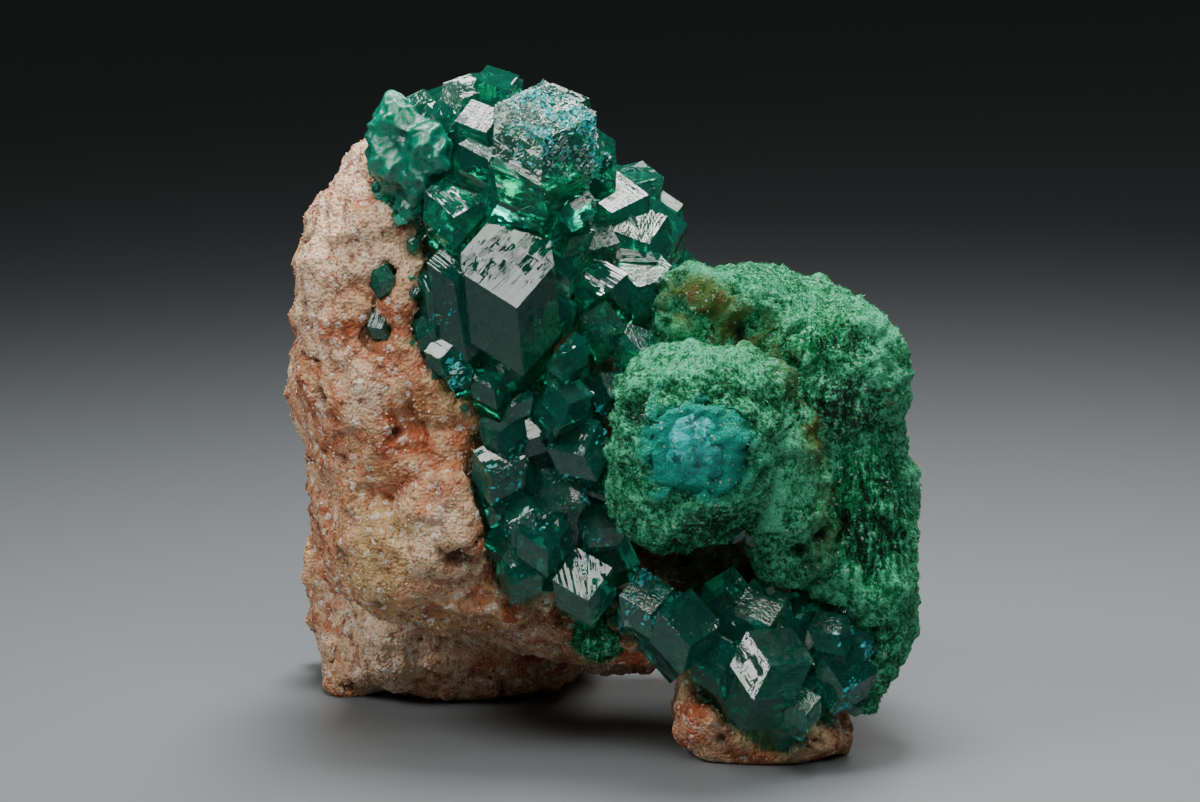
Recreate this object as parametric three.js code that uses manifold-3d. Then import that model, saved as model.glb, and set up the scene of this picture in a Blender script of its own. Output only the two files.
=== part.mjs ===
// Dioptase on its matrix, a hand specimen about 28 mm wide and 32 mm tall.
// Millimetres, +Z up. The crystal front faces -Y, and the specimen stands on two flats at z = 0.
// A tall block of granular stone carries a band of green crystals that runs from its top down
// its right side. A rough malachite lump with a rounded knob hangs on the right of the band.

import * as THREE from 'three';
import { ConvexGeometry } from 'three/addons/geometries/ConvexGeometry.js';
import { mergeVertices } from 'three/addons/utils/BufferGeometryUtils.js';
import Module from 'manifold-3d';

const wasm = await Module();
wasm.setup();

// Driving dimensions

const GAP = 0.3; // clear space left where two pieces grow against each other
const FRONT_TILT = THREE.MathUtils.degToRad(10); // the front is laid out as seen from this far above
const TIP_SLOPE = THREE.MathUtils.degToRad(51); // angle from a crystal's long axis to a tip face's normal
const LENGTH = 2.7; // a crystal's length from peak to peak, in sizes
const UNEVEN = 0.07; // how far a large crystal's faces stand from even, as a share of its size
const LARGE = 1.7; // from this size a crystal is uneven
const FLOOR = 0.4; // height of the plane that trims the two flats
const FLOOR_DEPTH = 6; // thickness of the slab of stone trimmed away under them
const FLOOR_SLAB = [60, 60, FLOOR_DEPTH];
const LUMP_SQUARE = 2.6; // how boxy a lump is: 2 is a ball, and more squares its corners
const DOME_SQUARE = 7; // how boxy a block's ends are
const POLE = 1e-6; // nearer to a block's end than this, a point has no side of its own
const EVEN_OUT = 0.06; // edges and steps finer than this are merged into their neighbours
const WELD = 1e-4; // corners of a mesh nearer to each other than this are one
const SAME_CORNER = 1e-3; // corners of a crystal nearer to each other than this are one
const ON_FACE = 1e-7; // a corner this little past a face still lies on it
const NO_CORNER = 1e-6; // three faces whose normals fill less than this meet in no one corner
const SWELL = { broad: 0.7, fine: 0.45, finer: 0.45 }; // weathering: two heights, and the finer bumps' size
// How coarse the weathering of each kind of lump is, and where its noise starts
const STONE_WEATHER = { grain: 3, seed: 40 };
const MALACHITE_WEATHER = { grain: 2.2, seed: 60 };
const BED_WEATHER = { grain: 1.6, seed: 80 };
const PATCH_WEATHER = { grain: 1.2, seed: 90 };
const TUFT_WEATHER = { grain: 0.8, seed: 95 };

// Stone. A section is [height, left, right, front, back].
const BLOCK = {
  sections: [
    [5.2, -9.6, -3.0, 1.0, 10.0],
    [6.4, -11.2, -0.6, -1.2, 12.0],
    [7.8, -12.5, 0.6, -2.4, 13.5],
    [10.2, -12.9, 1.5, -2.7, 14.0],
    [12.6, -13.0, 1.2, -2.6, 13.5],
    [15.2, -13.6, 0.2, -2.5, 12.5],
    [17.4, -14.0, -0.4, -2.3, 12.0],
    [20.2, -13.3, -1.0, -2.2, 11.5],
    [23.0, -13.1, -0.4, -2.1, 11.0],
    [25.4, -12.7, -0.2, -1.9, 10.0],
    [27.6, -12.1, -0.8, -1.4, 9.0],
    [29.4, -11.2, -2.0, -0.6, 7.6],
  ],
  around: 22,
  rows: 20,
  square: 3.2,
  rough: 0.75,
  grain: 3.2,
  seed: 11,
};
// The broad mass behind, which joins the block to the malachite's back
const BACK_BLOCK = {
  sections: [
    [3.0, -7.0, 9.0, 5.5, 11.5],
    [5.0, -8.6, 11.2, 4.0, 14.6],
    [8.4, -9.8, 12.6, 3.2, 16.2],
    [12.6, -10.2, 13.0, 3.0, 16.6],
    [16.4, -9.8, 12.2, 3.2, 15.4],
    [18.6, -9.2, 10.4, 3.6, 13.8],
    [20.6, -8.8, 5.4, 4.2, 12.6],
    [22.6, -8.0, 2.4, 4.4, 11.8],
    [24.8, -7.0, 1.0, 5.0, 10.6],
  ],
  around: 18,
  rows: 12,
  square: 3.0,
  rough: 1.3,
  grain: 4.2,
  seed: 17,
};
const STONE_LUMPS = [
  // the lobe behind, the core's top, the boulder beside the band, the shelf under it, the foot
  { middle: [-6.8, 16.0, 4.7], radii: [7.0, 7.0, 5.7], detail: 3, rough: 1.3 },
  { middle: [1.0, 5.4, 20.2], radii: [3.6, 4.2, 4.4], detail: 2, rough: 0.6 },
  { middle: [-6.8, -1.5, 11.7], radii: [2.3, 2.2, 2.5], detail: 2, rough: 0.4 },
  { middle: [2.8, 1.4, 6.6], radii: [4.8, 3.1, 1.7], detail: 1, rough: 0.4 },
  { middle: [7.4, 0.3, 2.5], radii: [3.9, 3.3, 3.1], detail: 2, rough: 0.5 },
];
// Flat breaks across the back of the stone: what lies past reach along toward is gone.
const BREAKS = [
  { toward: [0.72, 0.58, 0.38], reach: 19.2 },
  { toward: [-0.62, 0.66, 0.42], reach: 22.0 },
  { toward: [0.16, 0.76, 0.63], reach: 23.0 },
  { toward: [0.62, 0.72, -0.32], reach: 14.4 },
  { toward: [-0.2, 0.97, -0.12], reach: 20.6 },
];
// A dent sinks where it is negative and swells where it is positive.
const STONE_DENTS = [
  { at: [-5.2, 8.4, -2.6], radius: 2.0, rise: -1.0 },
  { at: [-9.3, 11.8, -2.8], radius: 1.6, rise: -1.4 },
  { at: [-6.9, 15.0, -2.6], radius: 1.9, rise: -1.9 },
  { at: [-7.6, 24.2, -2.2], radius: 2.0, rise: -1.3 },
  { at: [-12.2, 27.0, 1.0], radius: 1.8, rise: -0.8 },
  { at: [-12.6, 22.0, 0.0], radius: 2.2, rise: 0.5 },
  { at: [-13.4, 14.0, 0.5], radius: 1.9, rise: -0.8 },
  { at: [-10.0, 17.4, -2.4], radius: 2.4, rise: 0.6 },
  { at: [-10.4, 21.0, -2.2], radius: 1.6, rise: -0.6 },
];
// Layers that show under the block: they fade in below top, and rise by tilt to the right.
const LEDGE = { top: 9.6, fade: 2, pitch: 1.5, depth: 0.35, tilt: 0.15 };

// Malachite
const LUMP = {
  sections: [
    [3.0, 11.6, 12.6, -1.0, 0.4],
    [4.4, 11.4, 13.7, -2.0, 2.4],
    [6.4, 11.0, 13.9, -2.2, 4.4],
    [8.6, 9.6, 14.0, -2.2, 6.0],
    [11.0, 6.6, 14.0, -2.0, 7.6],
    [13.8, 4.2, 13.9, -1.8, 8.4],
    [16.4, 2.6, 13.7, -1.7, 9.0],
    [18.2, 1.9, 14.0, -1.6, 9.2],
    [19.8, 1.6, 13.4, -0.9, 8.6],
    [21.0, 2.6, 12.0, 0.4, 7.6],
    [22.0, 4.2, 9.6, 1.6, 6.0],
  ],
  around: 22,
  rows: 16,
  square: 3.0,
  rough: 0.6,
  grain: 2.6,
  seed: 23,
};
const MALACHITE_LUMPS = [
  // the knob, its shoulder, the ridge under it, the bump on the right, the crest on the left
  { middle: [4.1, -3.7, 15.5], radii: [3.3, 3.1, 4.1], detail: 3, rough: 0.5 },
  { middle: [6.2, -2.5, 17.2], radii: [2.3, 2.3, 2.1], detail: 1, rough: 0.4 },
  { middle: [8.1, -2.2, 13.4], radii: [1.8, 2.1, 4.3], detail: 1, rough: 0.4, sway: -14 },
  { middle: [11.6, 0.8, 18.0], radii: [2.3, 2.4, 2.9], detail: 1, rough: 0.5 },
  { middle: [5.4, 1.8, 20.4], radii: [3.1, 2.5, 2.0], detail: 1, rough: 0.4 },
];
const MALACHITE_DENTS = [
  { at: [8.6, 17.8, -2.0], radius: 2.4, rise: -1.6 },
  { at: [9.9, 14.6, -2.0], radius: 2.0, rise: -1.3 },
  { at: [10.4, 11.4, -2.0], radius: 1.9, rise: -1.0 },
  { at: [12.4, 17.0, -2.4], radius: 1.3, rise: -1.1 },
  { at: [12.6, 12.0, -2.2], radius: 2.4, rise: 0.6 },
];
const PATCH = { middle: [4.3, -6.3, 16.0], radii: [1.7, 1.1, 1.9], detail: 1, rough: 0.25 };
const TUFT = { middle: [0.1, -0.9, 6.1], radii: [0.85, 0.85, 0.7], detail: 1, rough: 0.15 };

// Beds that a cluster's crystals are rooted in
const UPPER_BED = { middle: [-3.9, 0.9, 27.9], radii: [3.9, 3.2, 2.8], detail: 1, rough: 0.2 };
const MAIN_BED = { middle: [-4.7, -1.0, 20.9], radii: [2.6, 2.2, 3.4], detail: 0, rough: 0.2 };
const VEIN_BED = { middle: [-1.9, -0.5, 14.2], radii: [2.7, 2.1, 5.8], detail: 0, rough: 0.2, sway: -8 };
const LOWER_BED = { middle: [7.2, -1.5, 6.0], radii: [4.8, 2.0, 2.1], detail: 0, rough: 0.2, sway: 14 };
const BACK_BED = { middle: [1.5, 5.8, 22.9], radii: [2.1, 3.9, 2.2], detail: 0, rough: 0.2 };
const CRUST_BED = { middle: [-8.0, -0.6, 27.5], radii: [1.9, 1.4, 2.2], detail: 0, rough: 0.25 };

// Crystals. Each stands by the middle of one tip face: at is [across, up, back] as the front is
// seen, lean is how far that face looks [right, up], in degrees, and turn is how far its peak
// swings clockwise. Size is the radius out to a long edge. Length runs from the peak at one end to
// the peak at the other, and is LENGTH sizes if unsaid. Ridge stretches the face upwards, past its
// even shape.
const UPPER_CRYSTALS = [
  { at: [-2.3, 29.5, -1.9], lean: [14, 50], turn: 8, size: 2.75 },
  { at: [-5.9, 30.7, -0.6], lean: [5, 50], turn: 12, size: 1.2 },
  { at: [-4.5, 31.1, -0.2], lean: [20, 52], turn: -12, size: 1.3 },
  { at: [-8.0, 30.2, 0.0], lean: [-15, 45], turn: 5, size: 0.8 },
  { at: [-6.9, 29.7, -1.2], lean: [-12, 40], turn: 20, size: 0.95 },
  { at: [-5.3, 29.3, -2.0], lean: [4, 38], turn: -16, size: 1.3 },
  { at: [-5.1, 28.0, -2.7], lean: [20, 46], turn: 0, size: 1.3 },
  { at: [-3.3, 27.1, -3.2], lean: [28, 44], turn: -12, size: 1.8, ridge: 0.2 },
  { at: [-6.1, 25.9, -3.0], lean: [-6, 37], turn: 4, size: 1.75 },
  { at: [-3.4, 25.5, -2.5], lean: [10, 30], turn: 18, size: 1.5 },
  { at: [-0.9, 25.7, -2.5], lean: [5, 26], turn: 10, size: 0.95 },
  { at: [-4.6, 31.3, 2.3], lean: [8, 72], turn: 25, size: 1.5 },
  { at: [-7.3, 30.6, 2.4], lean: [-24, 66], turn: -10, size: 1.1 },
  { at: [-1.6, 30.5, 2.2], lean: [38, 62], turn: 12, size: 1.6 },
  { at: [0.2, 28.3, 1.6], lean: [58, 34], turn: -8, size: 1.5 },
];
const MAIN_CRYSTALS = [
  { at: [-3.9, 22.7, -4.4], lean: [4, 20], turn: -8, size: 2.45, length: 8.0, ridge: 0.45 },
  { at: [-6.4, 22.9, -3.2], lean: [-14, 22], turn: -6, size: 1.45, length: 6.4 },
  { at: [-7.5, 22.0, -2.6], lean: [-30, 18], turn: 8, size: 0.85, length: 3.8 },
  { at: [-7.8, 20.0, -2.4], lean: [-36, 16], turn: 12, size: 0.8 },
  { at: [-7.1, 19.0, -2.9], lean: [-22, 26], turn: -14, size: 0.85 },
  { at: [-6.2, 18.2, -3.2], lean: [-10, 36], turn: 10, size: 0.75 },
  { at: [-2.0, 21.0, -2.8], lean: [26, 20], turn: 6, size: 1.4 },
  { at: [-4.8, 17.9, -3.1], lean: [-4, 28], turn: -12, size: 1.15 },
  { at: [-2.9, 19.4, -2.9], lean: [18, 34], turn: 15, size: 1.2 },
  { at: [-1.5, 22.9, -2.5], lean: [24, 14], turn: -12, size: 1.15 },
  { at: [-1.0, 24.5, -1.8], lean: [12, 34], turn: 24, size: 1.1 },
];
const VEIN_CRYSTALS = [
  { at: [0.2, 20.2, -1.7], lean: [-6, 12], turn: 10, size: 1.2 },
  { at: [1.7, 19.4, -1.8], lean: [14, 18], turn: -20, size: 1.0 },
  { at: [-1.5, 19.3, -3.0], lean: [-5, 45], turn: 2, size: 1.25 },
  { at: [-1.2, 17.2, -3.7], lean: [28, 36], turn: 20, size: 1.25 },
  { at: [-1.1, 15.1, -3.6], lean: [-14, 26], turn: -30, size: 1.55 },
  { at: [-3.7, 17.0, -3.3], lean: [-6, 26], turn: 14, size: 1.0 },
  { at: [-4.4, 15.9, -3.1], lean: [-24, 40], turn: -18, size: 1.2 },
  { at: [-4.4, 14.2, -3.3], lean: [-18, 30], turn: 8, size: 1.5 },
  { at: [-2.7, 15.6, -3.2], lean: [4, 16], turn: 25, size: 1.15 },
  { at: [-3.6, 11.7, -3.5], lean: [-30, 22], turn: 10, size: 1.15 },
  { at: [-2.4, 10.9, -3.8], lean: [14, 16], turn: -6, size: 1.45 },
  { at: [-1.5, 12.8, -3.2], lean: [6, 8], turn: 35, size: 1.5 },
  { at: [0.6, 11.5, -2.5], lean: [18, 28], turn: 38, size: 1.2 },
  { at: [-0.7, 8.8, -3.1], lean: [0, 16], turn: -12, size: 1.6 },
  { at: [-3.5, 9.3, -3.0], lean: [-20, 8], turn: 18, size: 1.35 },
  { at: [-4.9, 12.5, -2.7], lean: [-40, 12], turn: 5, size: 1.05 },
  { at: [-4.4, 10.4, -2.7], lean: [-34, 2], turn: -15, size: 1.15 },
  { at: [0.5, 13.5, -2.1], lean: [24, 12], turn: -10, size: 1.2 },
  { at: [1.0, 9.6, -2.3], lean: [10, 4], turn: 22, size: 1.2 },
  { at: [0.9, 17.4, -1.4], lean: [16, 24], turn: 30, size: 1.1 },
];
const BACK_CRYSTALS = [
  { at: [0.7, 26.2, 4.4], lean: [6, 46], turn: 8, size: 1.9 },
  { at: [1.9, 24.8, 3.6], lean: [14, 42], turn: -14, size: 1.7 },
  { at: [3.1, 24.9, 5.6], lean: [42, 32], turn: 6, size: 1.6 },
  { at: [1.9, 27.2, 7.0], lean: [12, 56], turn: 20, size: 1.4 },
  { at: [0.5, 27.2, 7.6], lean: [-14, 58], turn: -20, size: 1.4 },
  { at: [2.3, 22.6, 2.0], lean: [4, 50], turn: 18, size: 1.7 },
  { at: [0.1, 22.2, -0.6], lean: [-5, 36], turn: -8, size: 1.45 },
  { at: [-0.1, 24.2, 1.6], lean: [0, 32], turn: 24, size: 1.4 },
  { at: [3.9, 23.2, 6.4], lean: [50, 30], turn: -12, size: 1.3 },
  { at: [3.2, 26.0, 8.6], lean: [54, 48], turn: 14, size: 1.3 },
];
const LOWER_CRYSTALS = [
  { at: [2.2, 8.0, -3.4], lean: [2, 26], turn: -8, size: 1.45 },
  { at: [4.1, 6.9, -4.0], lean: [14, 22], turn: 10, size: 1.7 },
  { at: [8.2, 5.5, -4.3], lean: [25, 46], turn: 38, size: 1.95 },
  { at: [9.2, 3.2, -4.5], lean: [10, 32], turn: -6, size: 1.0 },
  { at: [8.5, 2.3, -3.9], lean: [-4, -16], turn: 12, size: 1.3 },
  { at: [10.4, 6.6, -2.9], lean: [5, 50], turn: -24, size: 1.2 },
  { at: [11.4, 4.7, -3.2], lean: [20, 12], turn: 16, size: 1.6 },
  { at: [11.9, 6.1, -2.3], lean: [30, 42], turn: 6, size: 0.9 },
  { at: [9.4, 7.5, -1.7], lean: [0, 32], turn: 30, size: 0.95 },
  { at: [7.4, 7.5, -2.5], lean: [5, 26], turn: -16, size: 1.55 },
  { at: [6.0, 8.1, -1.9], lean: [12, 22], turn: 12, size: 1.4 },
  { at: [5.2, 5.2, -4.0], lean: [-14, 6], turn: -10, size: 1.45 },
  { at: [6.5, 3.8, -3.9], lean: [-10, -8], turn: 20, size: 1.45 },
  { at: [2.7, 6.4, -3.3], lean: [-18, 6], turn: 14, size: 1.2 },
  { at: [8.6, 3.9, -3.9], lean: [10, 6], turn: 8, size: 1.4 },
];
const CRUST_CRYSTALS = [
  { at: [-9.3, 29.6, -1.2], lean: [-20, 40], turn: 0, size: 0.75 },
  { at: [-9.6, 28.2, -1.6], lean: [-30, 20], turn: 12, size: 0.7 },
  { at: [-8.2, 28.9, -1.9], lean: [-6, 36], turn: -14, size: 0.85 },
  { at: [-8.4, 25.7, -2.0], lean: [-16, 0], turn: -8, size: 0.7 },
  { at: [-7.5, 25.0, -2.2], lean: [-8, -6], turn: 18, size: 0.65 },
  { at: [-7.7, 27.2, -2.3], lean: [0, 22], turn: 22, size: 0.9 },
  { at: [-7.0, 28.3, -2.2], lean: [10, 34], turn: -6, size: 0.8 },
];
const KNOB_CRYSTALS = [
  { at: [6.2, 10.9, -4.0], lean: [-6, 6], turn: 10, size: 0.5 },
  { at: [6.9, 10.8, -3.7], lean: [14, 12], turn: -20, size: 0.42, length: 1.4 },
];
// Lone crystals that sit in the face of the stone: [across, up] as seen from the front.
const LONE_CRYSTALS = [
  { name: 'lone_crystal_upper', seen: [-9.6, 22.3], lean: [-8, 20], turn: 15, size: 0.62 },
  { name: 'lone_crystal_lower', seen: [-9.9, 20.2], lean: [4, 12], turn: -30, size: 0.58 },
  { name: 'lone_crystal_small', seen: [-8.3, 23.8], lean: [0, 30], turn: 0, size: 0.3 },
];
const LONE_PROUD = 0.22; // how far a lone crystal's face stands out of the stone
const LONE_LENGTH = 3; // a lone crystal's length from peak to peak, in sizes
const IN_FRONT = 20; // a look at the stone starts this far in front of the middle

const FINISHES = {
  stone: { color: 0xc39473, roughness: 0.92, metalness: 0 },
  dioptase: { color: 0x0a6b50, roughness: 0.12, metalness: 0 },
  crust: { color: 0x1a9c8c, roughness: 0.35, metalness: 0 },
  malachite: { color: 0x3d9a6b, roughness: 0.85, metalness: 0 },
  chrysocolla: { color: 0x22b4b8, roughness: 0.6, metalness: 0 },
};

// Places and noise

/** The point that is seen from the front at `across` and `up`, and lies `back` behind the middle. */
function seenPoint([across, up, back]) {
  const height = (up - back * Math.sin(FRONT_TILT)) / Math.cos(FRONT_TILT);
  return new THREE.Vector3(across, back, height);
}

/** A repeatable number from 0 to 1 for one corner of the noise lattice. */
function cornerValue(i, j, k, seed) {
  let h = Math.imul(i, 374761393) ^ Math.imul(j, 668265263) ^ Math.imul(k, 1274126177);
  h ^= Math.imul(seed + 1, 2246822519);
  h = Math.imul(h ^ (h >>> 13), 1274126177);
  h = Math.imul(h ^ (h >>> 15), 2246822519);
  return ((h ^ (h >>> 16)) >>> 0) / 4294967295;
}

/** Smooth noise from -1 to 1, with bumps about `grain` across. */
function noise(point, grain, seed) {
  const cell = [point.x / grain, point.y / grain, point.z / grain];
  const low = cell.map(Math.floor);
  const share = cell.map((value, axis) => THREE.MathUtils.smoothstep(value - low[axis], 0, 1));
  let total = 0;
  for (let corner = 0; corner < 8; corner += 1) {
    const step = [corner & 1, (corner >> 1) & 1, (corner >> 2) & 1];
    const weight = step.reduce((product, on, axis) => product * (on ? share[axis] : 1 - share[axis]), 1);
    total += weight * cornerValue(low[0] + step[0], low[1] + step[1], low[2] + step[2], seed);
  }
  return 2 * total - 1;
}

/** Weathering: broad swells with smaller bumps on them. */
function weather(point, grain, seed) {
  const fine = noise(point, grain * SWELL.finer, seed + 5);
  return SWELL.broad * noise(point, grain, seed) + SWELL.fine * fine;
}

/** How far the dents and swells near a point move the surface. */
function dentRise(point, dents) {
  let rise = 0;
  for (const dent of dents) {
    const share = 1 - point.distanceToSquared(seenPoint(dent.at)) / dent.radius ** 2;
    if (share > 0) rise += dent.rise * share * share;
  }
  return rise;
}

// Solids

/** A closed geometry as a solid that can be joined and cut. */
function solid(geometry) {
  const bare = geometry.index ? geometry.clone() : geometry;
  bare.deleteAttribute('normal');
  bare.deleteAttribute('uv');
  const merged = mergeVertices(bare, WELD);
  return new wasm.Manifold(new wasm.Mesh({
    numProp: 3,
    vertProperties: new Float32Array(merged.attributes.position.array),
    triVerts: new Uint32Array(merged.index.array),
  }));
}

/** The largest body of a solid, so that a cut leaves no loose chips. */
function largestBody(whole) {
  return whole.decompose().reduce((best, body) => (body.volume() > best.volume() ? body : best));
}

function joined(solids) {
  return solids.reduce((whole, next) => whole.add(next));
}

function geometryOf(body) {
  const mesh = body.getMesh();
  const geometry = new THREE.BufferGeometry();
  geometry.setAttribute('position', new THREE.Float32BufferAttribute(mesh.vertProperties, 3));
  geometry.setIndex(new THREE.Uint32BufferAttribute(mesh.triVerts, 1));
  geometry.computeVertexNormals();
  return geometry;
}

// Crystals

/** The three directions of a crystal: out past the chosen tip face, across, and up its long axis. */
function crystalAxes({ lean, turn }) {
  const [right, up] = lean.map(THREE.MathUtils.degToRad);
  const swing = THREE.MathUtils.degToRad(turn);
  const viewUp = new THREE.Vector3(0, Math.sin(FRONT_TILT), Math.cos(FRONT_TILT));
  const viewOut = new THREE.Vector3(0, -Math.cos(FRONT_TILT), Math.sin(FRONT_TILT));
  const normal = new THREE.Vector3(Math.sin(right) * Math.cos(up), 0, 0)
    .addScaledVector(viewUp, Math.sin(up))
    .addScaledVector(viewOut, Math.cos(right) * Math.cos(up));
  const straight = viewUp.clone().addScaledVector(normal, -viewUp.dot(normal)).normalize();
  const side = straight.clone().cross(normal);
  const peak = straight.multiplyScalar(Math.cos(swing)).addScaledVector(side, Math.sin(swing));
  const axis = normal.clone().multiplyScalar(Math.cos(TIP_SLOPE)).addScaledVector(peak, Math.sin(TIP_SLOPE));
  const out = normal.clone().multiplyScalar(Math.sin(TIP_SLOPE)).addScaledVector(peak, -Math.cos(TIP_SLOPE));
  return { out, across: axis.clone().cross(out), axis };
}

/** The faces of a crystal, each a plane with its normal pointing out, peak at the origin. */
function crystalPlanes(spec, grow) {
  const { size, length = LENGTH * spec.size, ridge = 0 } = spec;
  const [x, z, y] = spec.at.map((value) => Math.round(value * 10));
  const uneven = size < LARGE ? 0 : UNEVEN * size;
  const stray = (index) => uneven * (2 * cornerValue(x + index, y, z, 3) - 1);
  const planes = [];
  for (let side = 0; side < 6; side += 1) {
    const angle = (Math.PI / 6) * (2 * side + 1);
    const normal = new THREE.Vector3(Math.cos(angle), Math.sin(angle), 0);
    planes.push({ normal, reach: size * Math.cos(Math.PI / 6) + stray(side) + grow });
  }
  const [flat, steep] = [Math.sin(TIP_SLOPE), Math.cos(TIP_SLOPE)];
  for (let face = 0; face < 3; face += 1) {
    const angle = (2 * Math.PI / 3) * face;
    const normal = new THREE.Vector3(flat * Math.cos(angle), flat * Math.sin(angle), steep);
    const extra = face === 0 ? 0 : ridge + Math.abs(stray(7 + face));
    planes.push({ normal, reach: extra + grow });
    planes.push({ normal: normal.clone().negate(), reach: steep * length + grow });
  }
  return planes;
}

/** The corners where three faces meet and no other face cuts them off. */
function planeCorners(planes) {
  const corners = [];
  for (let a = 0; a < planes.length; a += 1) {
    for (let b = a + 1; b < planes.length; b += 1) {
      for (let c = b + 1; c < planes.length; c += 1) {
        const [p, q, r] = [planes[a], planes[b], planes[c]];
        const qr = q.normal.clone().cross(r.normal);
        const spread = p.normal.dot(qr);
        if (Math.abs(spread) < NO_CORNER) continue;
        const corner = qr.multiplyScalar(p.reach)
          .addScaledVector(r.normal.clone().cross(p.normal), q.reach)
          .addScaledVector(p.normal.clone().cross(q.normal), r.reach)
          .divideScalar(spread);
        const inside = planes.every(({ normal, reach }) => normal.dot(corner) <= reach + ON_FACE);
        const fresh = corners.every((other) => other.distanceTo(corner) > SAME_CORNER);
        if (inside && fresh) corners.push(corner);
      }
    }
  }
  return corners;
}

/** One crystal: a six-sided prism under a tip of three rhombs. */
function crystal(spec, grow = 0) {
  const { out, across, axis } = crystalAxes(spec);
  const middle = new THREE.Vector3(spec.size / 2, 0, -spec.size * Math.tan(TIP_SLOPE) / 2);
  const turn = new THREE.Matrix4().makeBasis(out, across, axis);
  const place = seenPoint(spec.at).sub(middle.applyMatrix4(turn));
  const corners = planeCorners(crystalPlanes(spec, grow));
  return solid(new ConvexGeometry(corners.map((corner) => corner.applyMatrix4(turn).add(place))));
}

/** Crystals grown together, with the bed that they are rooted in. */
function cluster(specs, bed, grow = 0) {
  return joined([lump(bed, BED_WEATHER, grow), ...specs.map((spec) => crystal(spec, grow))]);
}

/** The plain hollow in the stone that a whole cluster sits in: the hull of all its crystals. */
function hollow(specs, bed) {
  const corners = specs.map((spec) => crystal(spec, GAP)).concat(lump(bed, BED_WEATHER, GAP))
    .flatMap((body) => {
      const { vertProperties: flat } = body.getMesh();
      return Array.from({ length: flat.length / 3 }, (_, i) => new THREE.Vector3().fromArray(flat, 3 * i));
    });
  return solid(new ConvexGeometry(corners));
}

/** Crystals that touch no bed of their own. */
function crystals(specs, grow = 0) {
  return joined(specs.map((spec) => crystal(spec, grow)));
}

// Lumps of stone and malachite

/** A rounded lump: a ball stretched to `radii` and weathered. `sway` leans it to the right, in degrees. */
function lump({ middle, radii, detail, rough, sway = 0 }, { grain, seed }, grow = 0) {
  const geometry = new THREE.IcosahedronGeometry(1, detail);
  const place = geometry.attributes.position;
  const lean = new THREE.Matrix4().makeRotationY(THREE.MathUtils.degToRad(sway));
  const centre = new THREE.Vector3(...middle);
  for (let i = 0; i < place.count; i += 1) {
    const direction = new THREE.Vector3().fromBufferAttribute(place, i).normalize();
    const parts = direction.toArray().reduce((sum, part) => sum + Math.abs(part) ** LUMP_SQUARE, 0);
    const boxy = parts ** (-1 / LUMP_SQUARE);
    const surface = direction.clone().multiplyScalar(boxy)
      .multiply(new THREE.Vector3(...radii)).applyMatrix4(lean);
    const normal = direction.divide(new THREE.Vector3(...radii)).applyMatrix4(lean).normalize();
    const point = surface.add(centre);
    point.addScaledVector(normal, rough * weather(point, grain, seed) + grow);
    place.setXYZ(i, point.x, point.y, point.z);
  }
  return solid(geometry);
}

/** The section of a block at a height, between the two listed sections around it. */
function sectionAt(sections, height) {
  const found = sections.findIndex((section) => section[0] >= height);
  const above = found < 0 ? sections.length - 1 : Math.max(1, found);
  const [low, high] = [sections[above - 1], sections[above]];
  const share = THREE.MathUtils.clamp((height - low[0]) / (high[0] - low[0]), 0, 1);
  return low.map((value, i) => THREE.MathUtils.lerp(value, high[i], share));
}

/** A block that follows a list of sections, with domed ends, weathered and dented. */
function sectionBlock({ sections, around, rows, square, rough, grain, seed }, dents, layered, grow = 0) {
  const geometry = new THREE.SphereGeometry(1, around, rows);
  const place = geometry.attributes.position;
  const bottom = sections[0][0];
  const top = sections[sections.length - 1][0];
  for (let i = 0; i < place.count; i += 1) {
    const [x, y, z] = [place.getX(i), place.getY(i), place.getZ(i)];
    const share = 1 - Math.acos(THREE.MathUtils.clamp(y, -1, 1)) / Math.PI;
    const height = THREE.MathUtils.lerp(bottom, top, share);
    const [, left, right, front, back] = sectionAt(sections, height);
    const round = Math.hypot(x, z);
    const [cos, sin] = round > POLE ? [x / round, -z / round] : [1, 0];
    const boxy = (Math.abs(cos) ** square + Math.abs(sin) ** square) ** (-1 / square);
    const dome = Math.sqrt(Math.max(0, 1 - Math.abs(2 * share - 1) ** DOME_SQUARE));
    const reach = new THREE.Vector3((right - left) / 2 + grow, (back - front) / 2 + grow, 0);
    const point = new THREE.Vector3(cos * boxy * dome, sin * boxy * dome, 0).multiply(reach);
    point.add(new THREE.Vector3((left + right) / 2, (front + back) / 2, height + grow * (2 * share - 1)));
    const move = rough * weather(point, grain, seed) + dentRise(point, dents) + layered(point);
    const normal = new THREE.Vector3(cos / reach.x, sin / reach.y, 0).normalize();
    normal.multiplyScalar(dome).setZ((2 * share - 1) * (1 - dome)).normalize();
    point.addScaledVector(normal, move);
    place.setXYZ(i, point.x, point.y, point.z);
  }
  return solid(geometry);
}

/** The layers that stand out of the block's underside. */
function ledge(point) {
  const share = THREE.MathUtils.smoothstep(LEDGE.top - point.z, 0, LEDGE.fade);
  const layer = (point.z + LEDGE.tilt * point.x) / LEDGE.pitch;
  return share * LEDGE.depth * Math.sin(2 * Math.PI * layer);
}

/** A solid without what lies past a flat break. */
function broken(whole, { toward, reach }) {
  const normal = new THREE.Vector3(...toward).normalize();
  return whole.trimByPlane(normal.negate().toArray(), -reach);
}

function stoneWhole() {
  const block = sectionBlock(BLOCK, STONE_DENTS, ledge);
  const { grain, seed } = STONE_WEATHER;
  const lumps = STONE_LUMPS.map((spec, index) => lump(spec, { grain, seed: seed + index }));
  const slab = new THREE.BoxGeometry(...FLOOR_SLAB).translate(0, 0, FLOOR - FLOOR_DEPTH / 2);
  const whole = joined([block, sectionBlock(BACK_BLOCK, [], () => 0), ...lumps]);
  return BREAKS.reduce(broken, whole).subtract(solid(slab));
}

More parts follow.
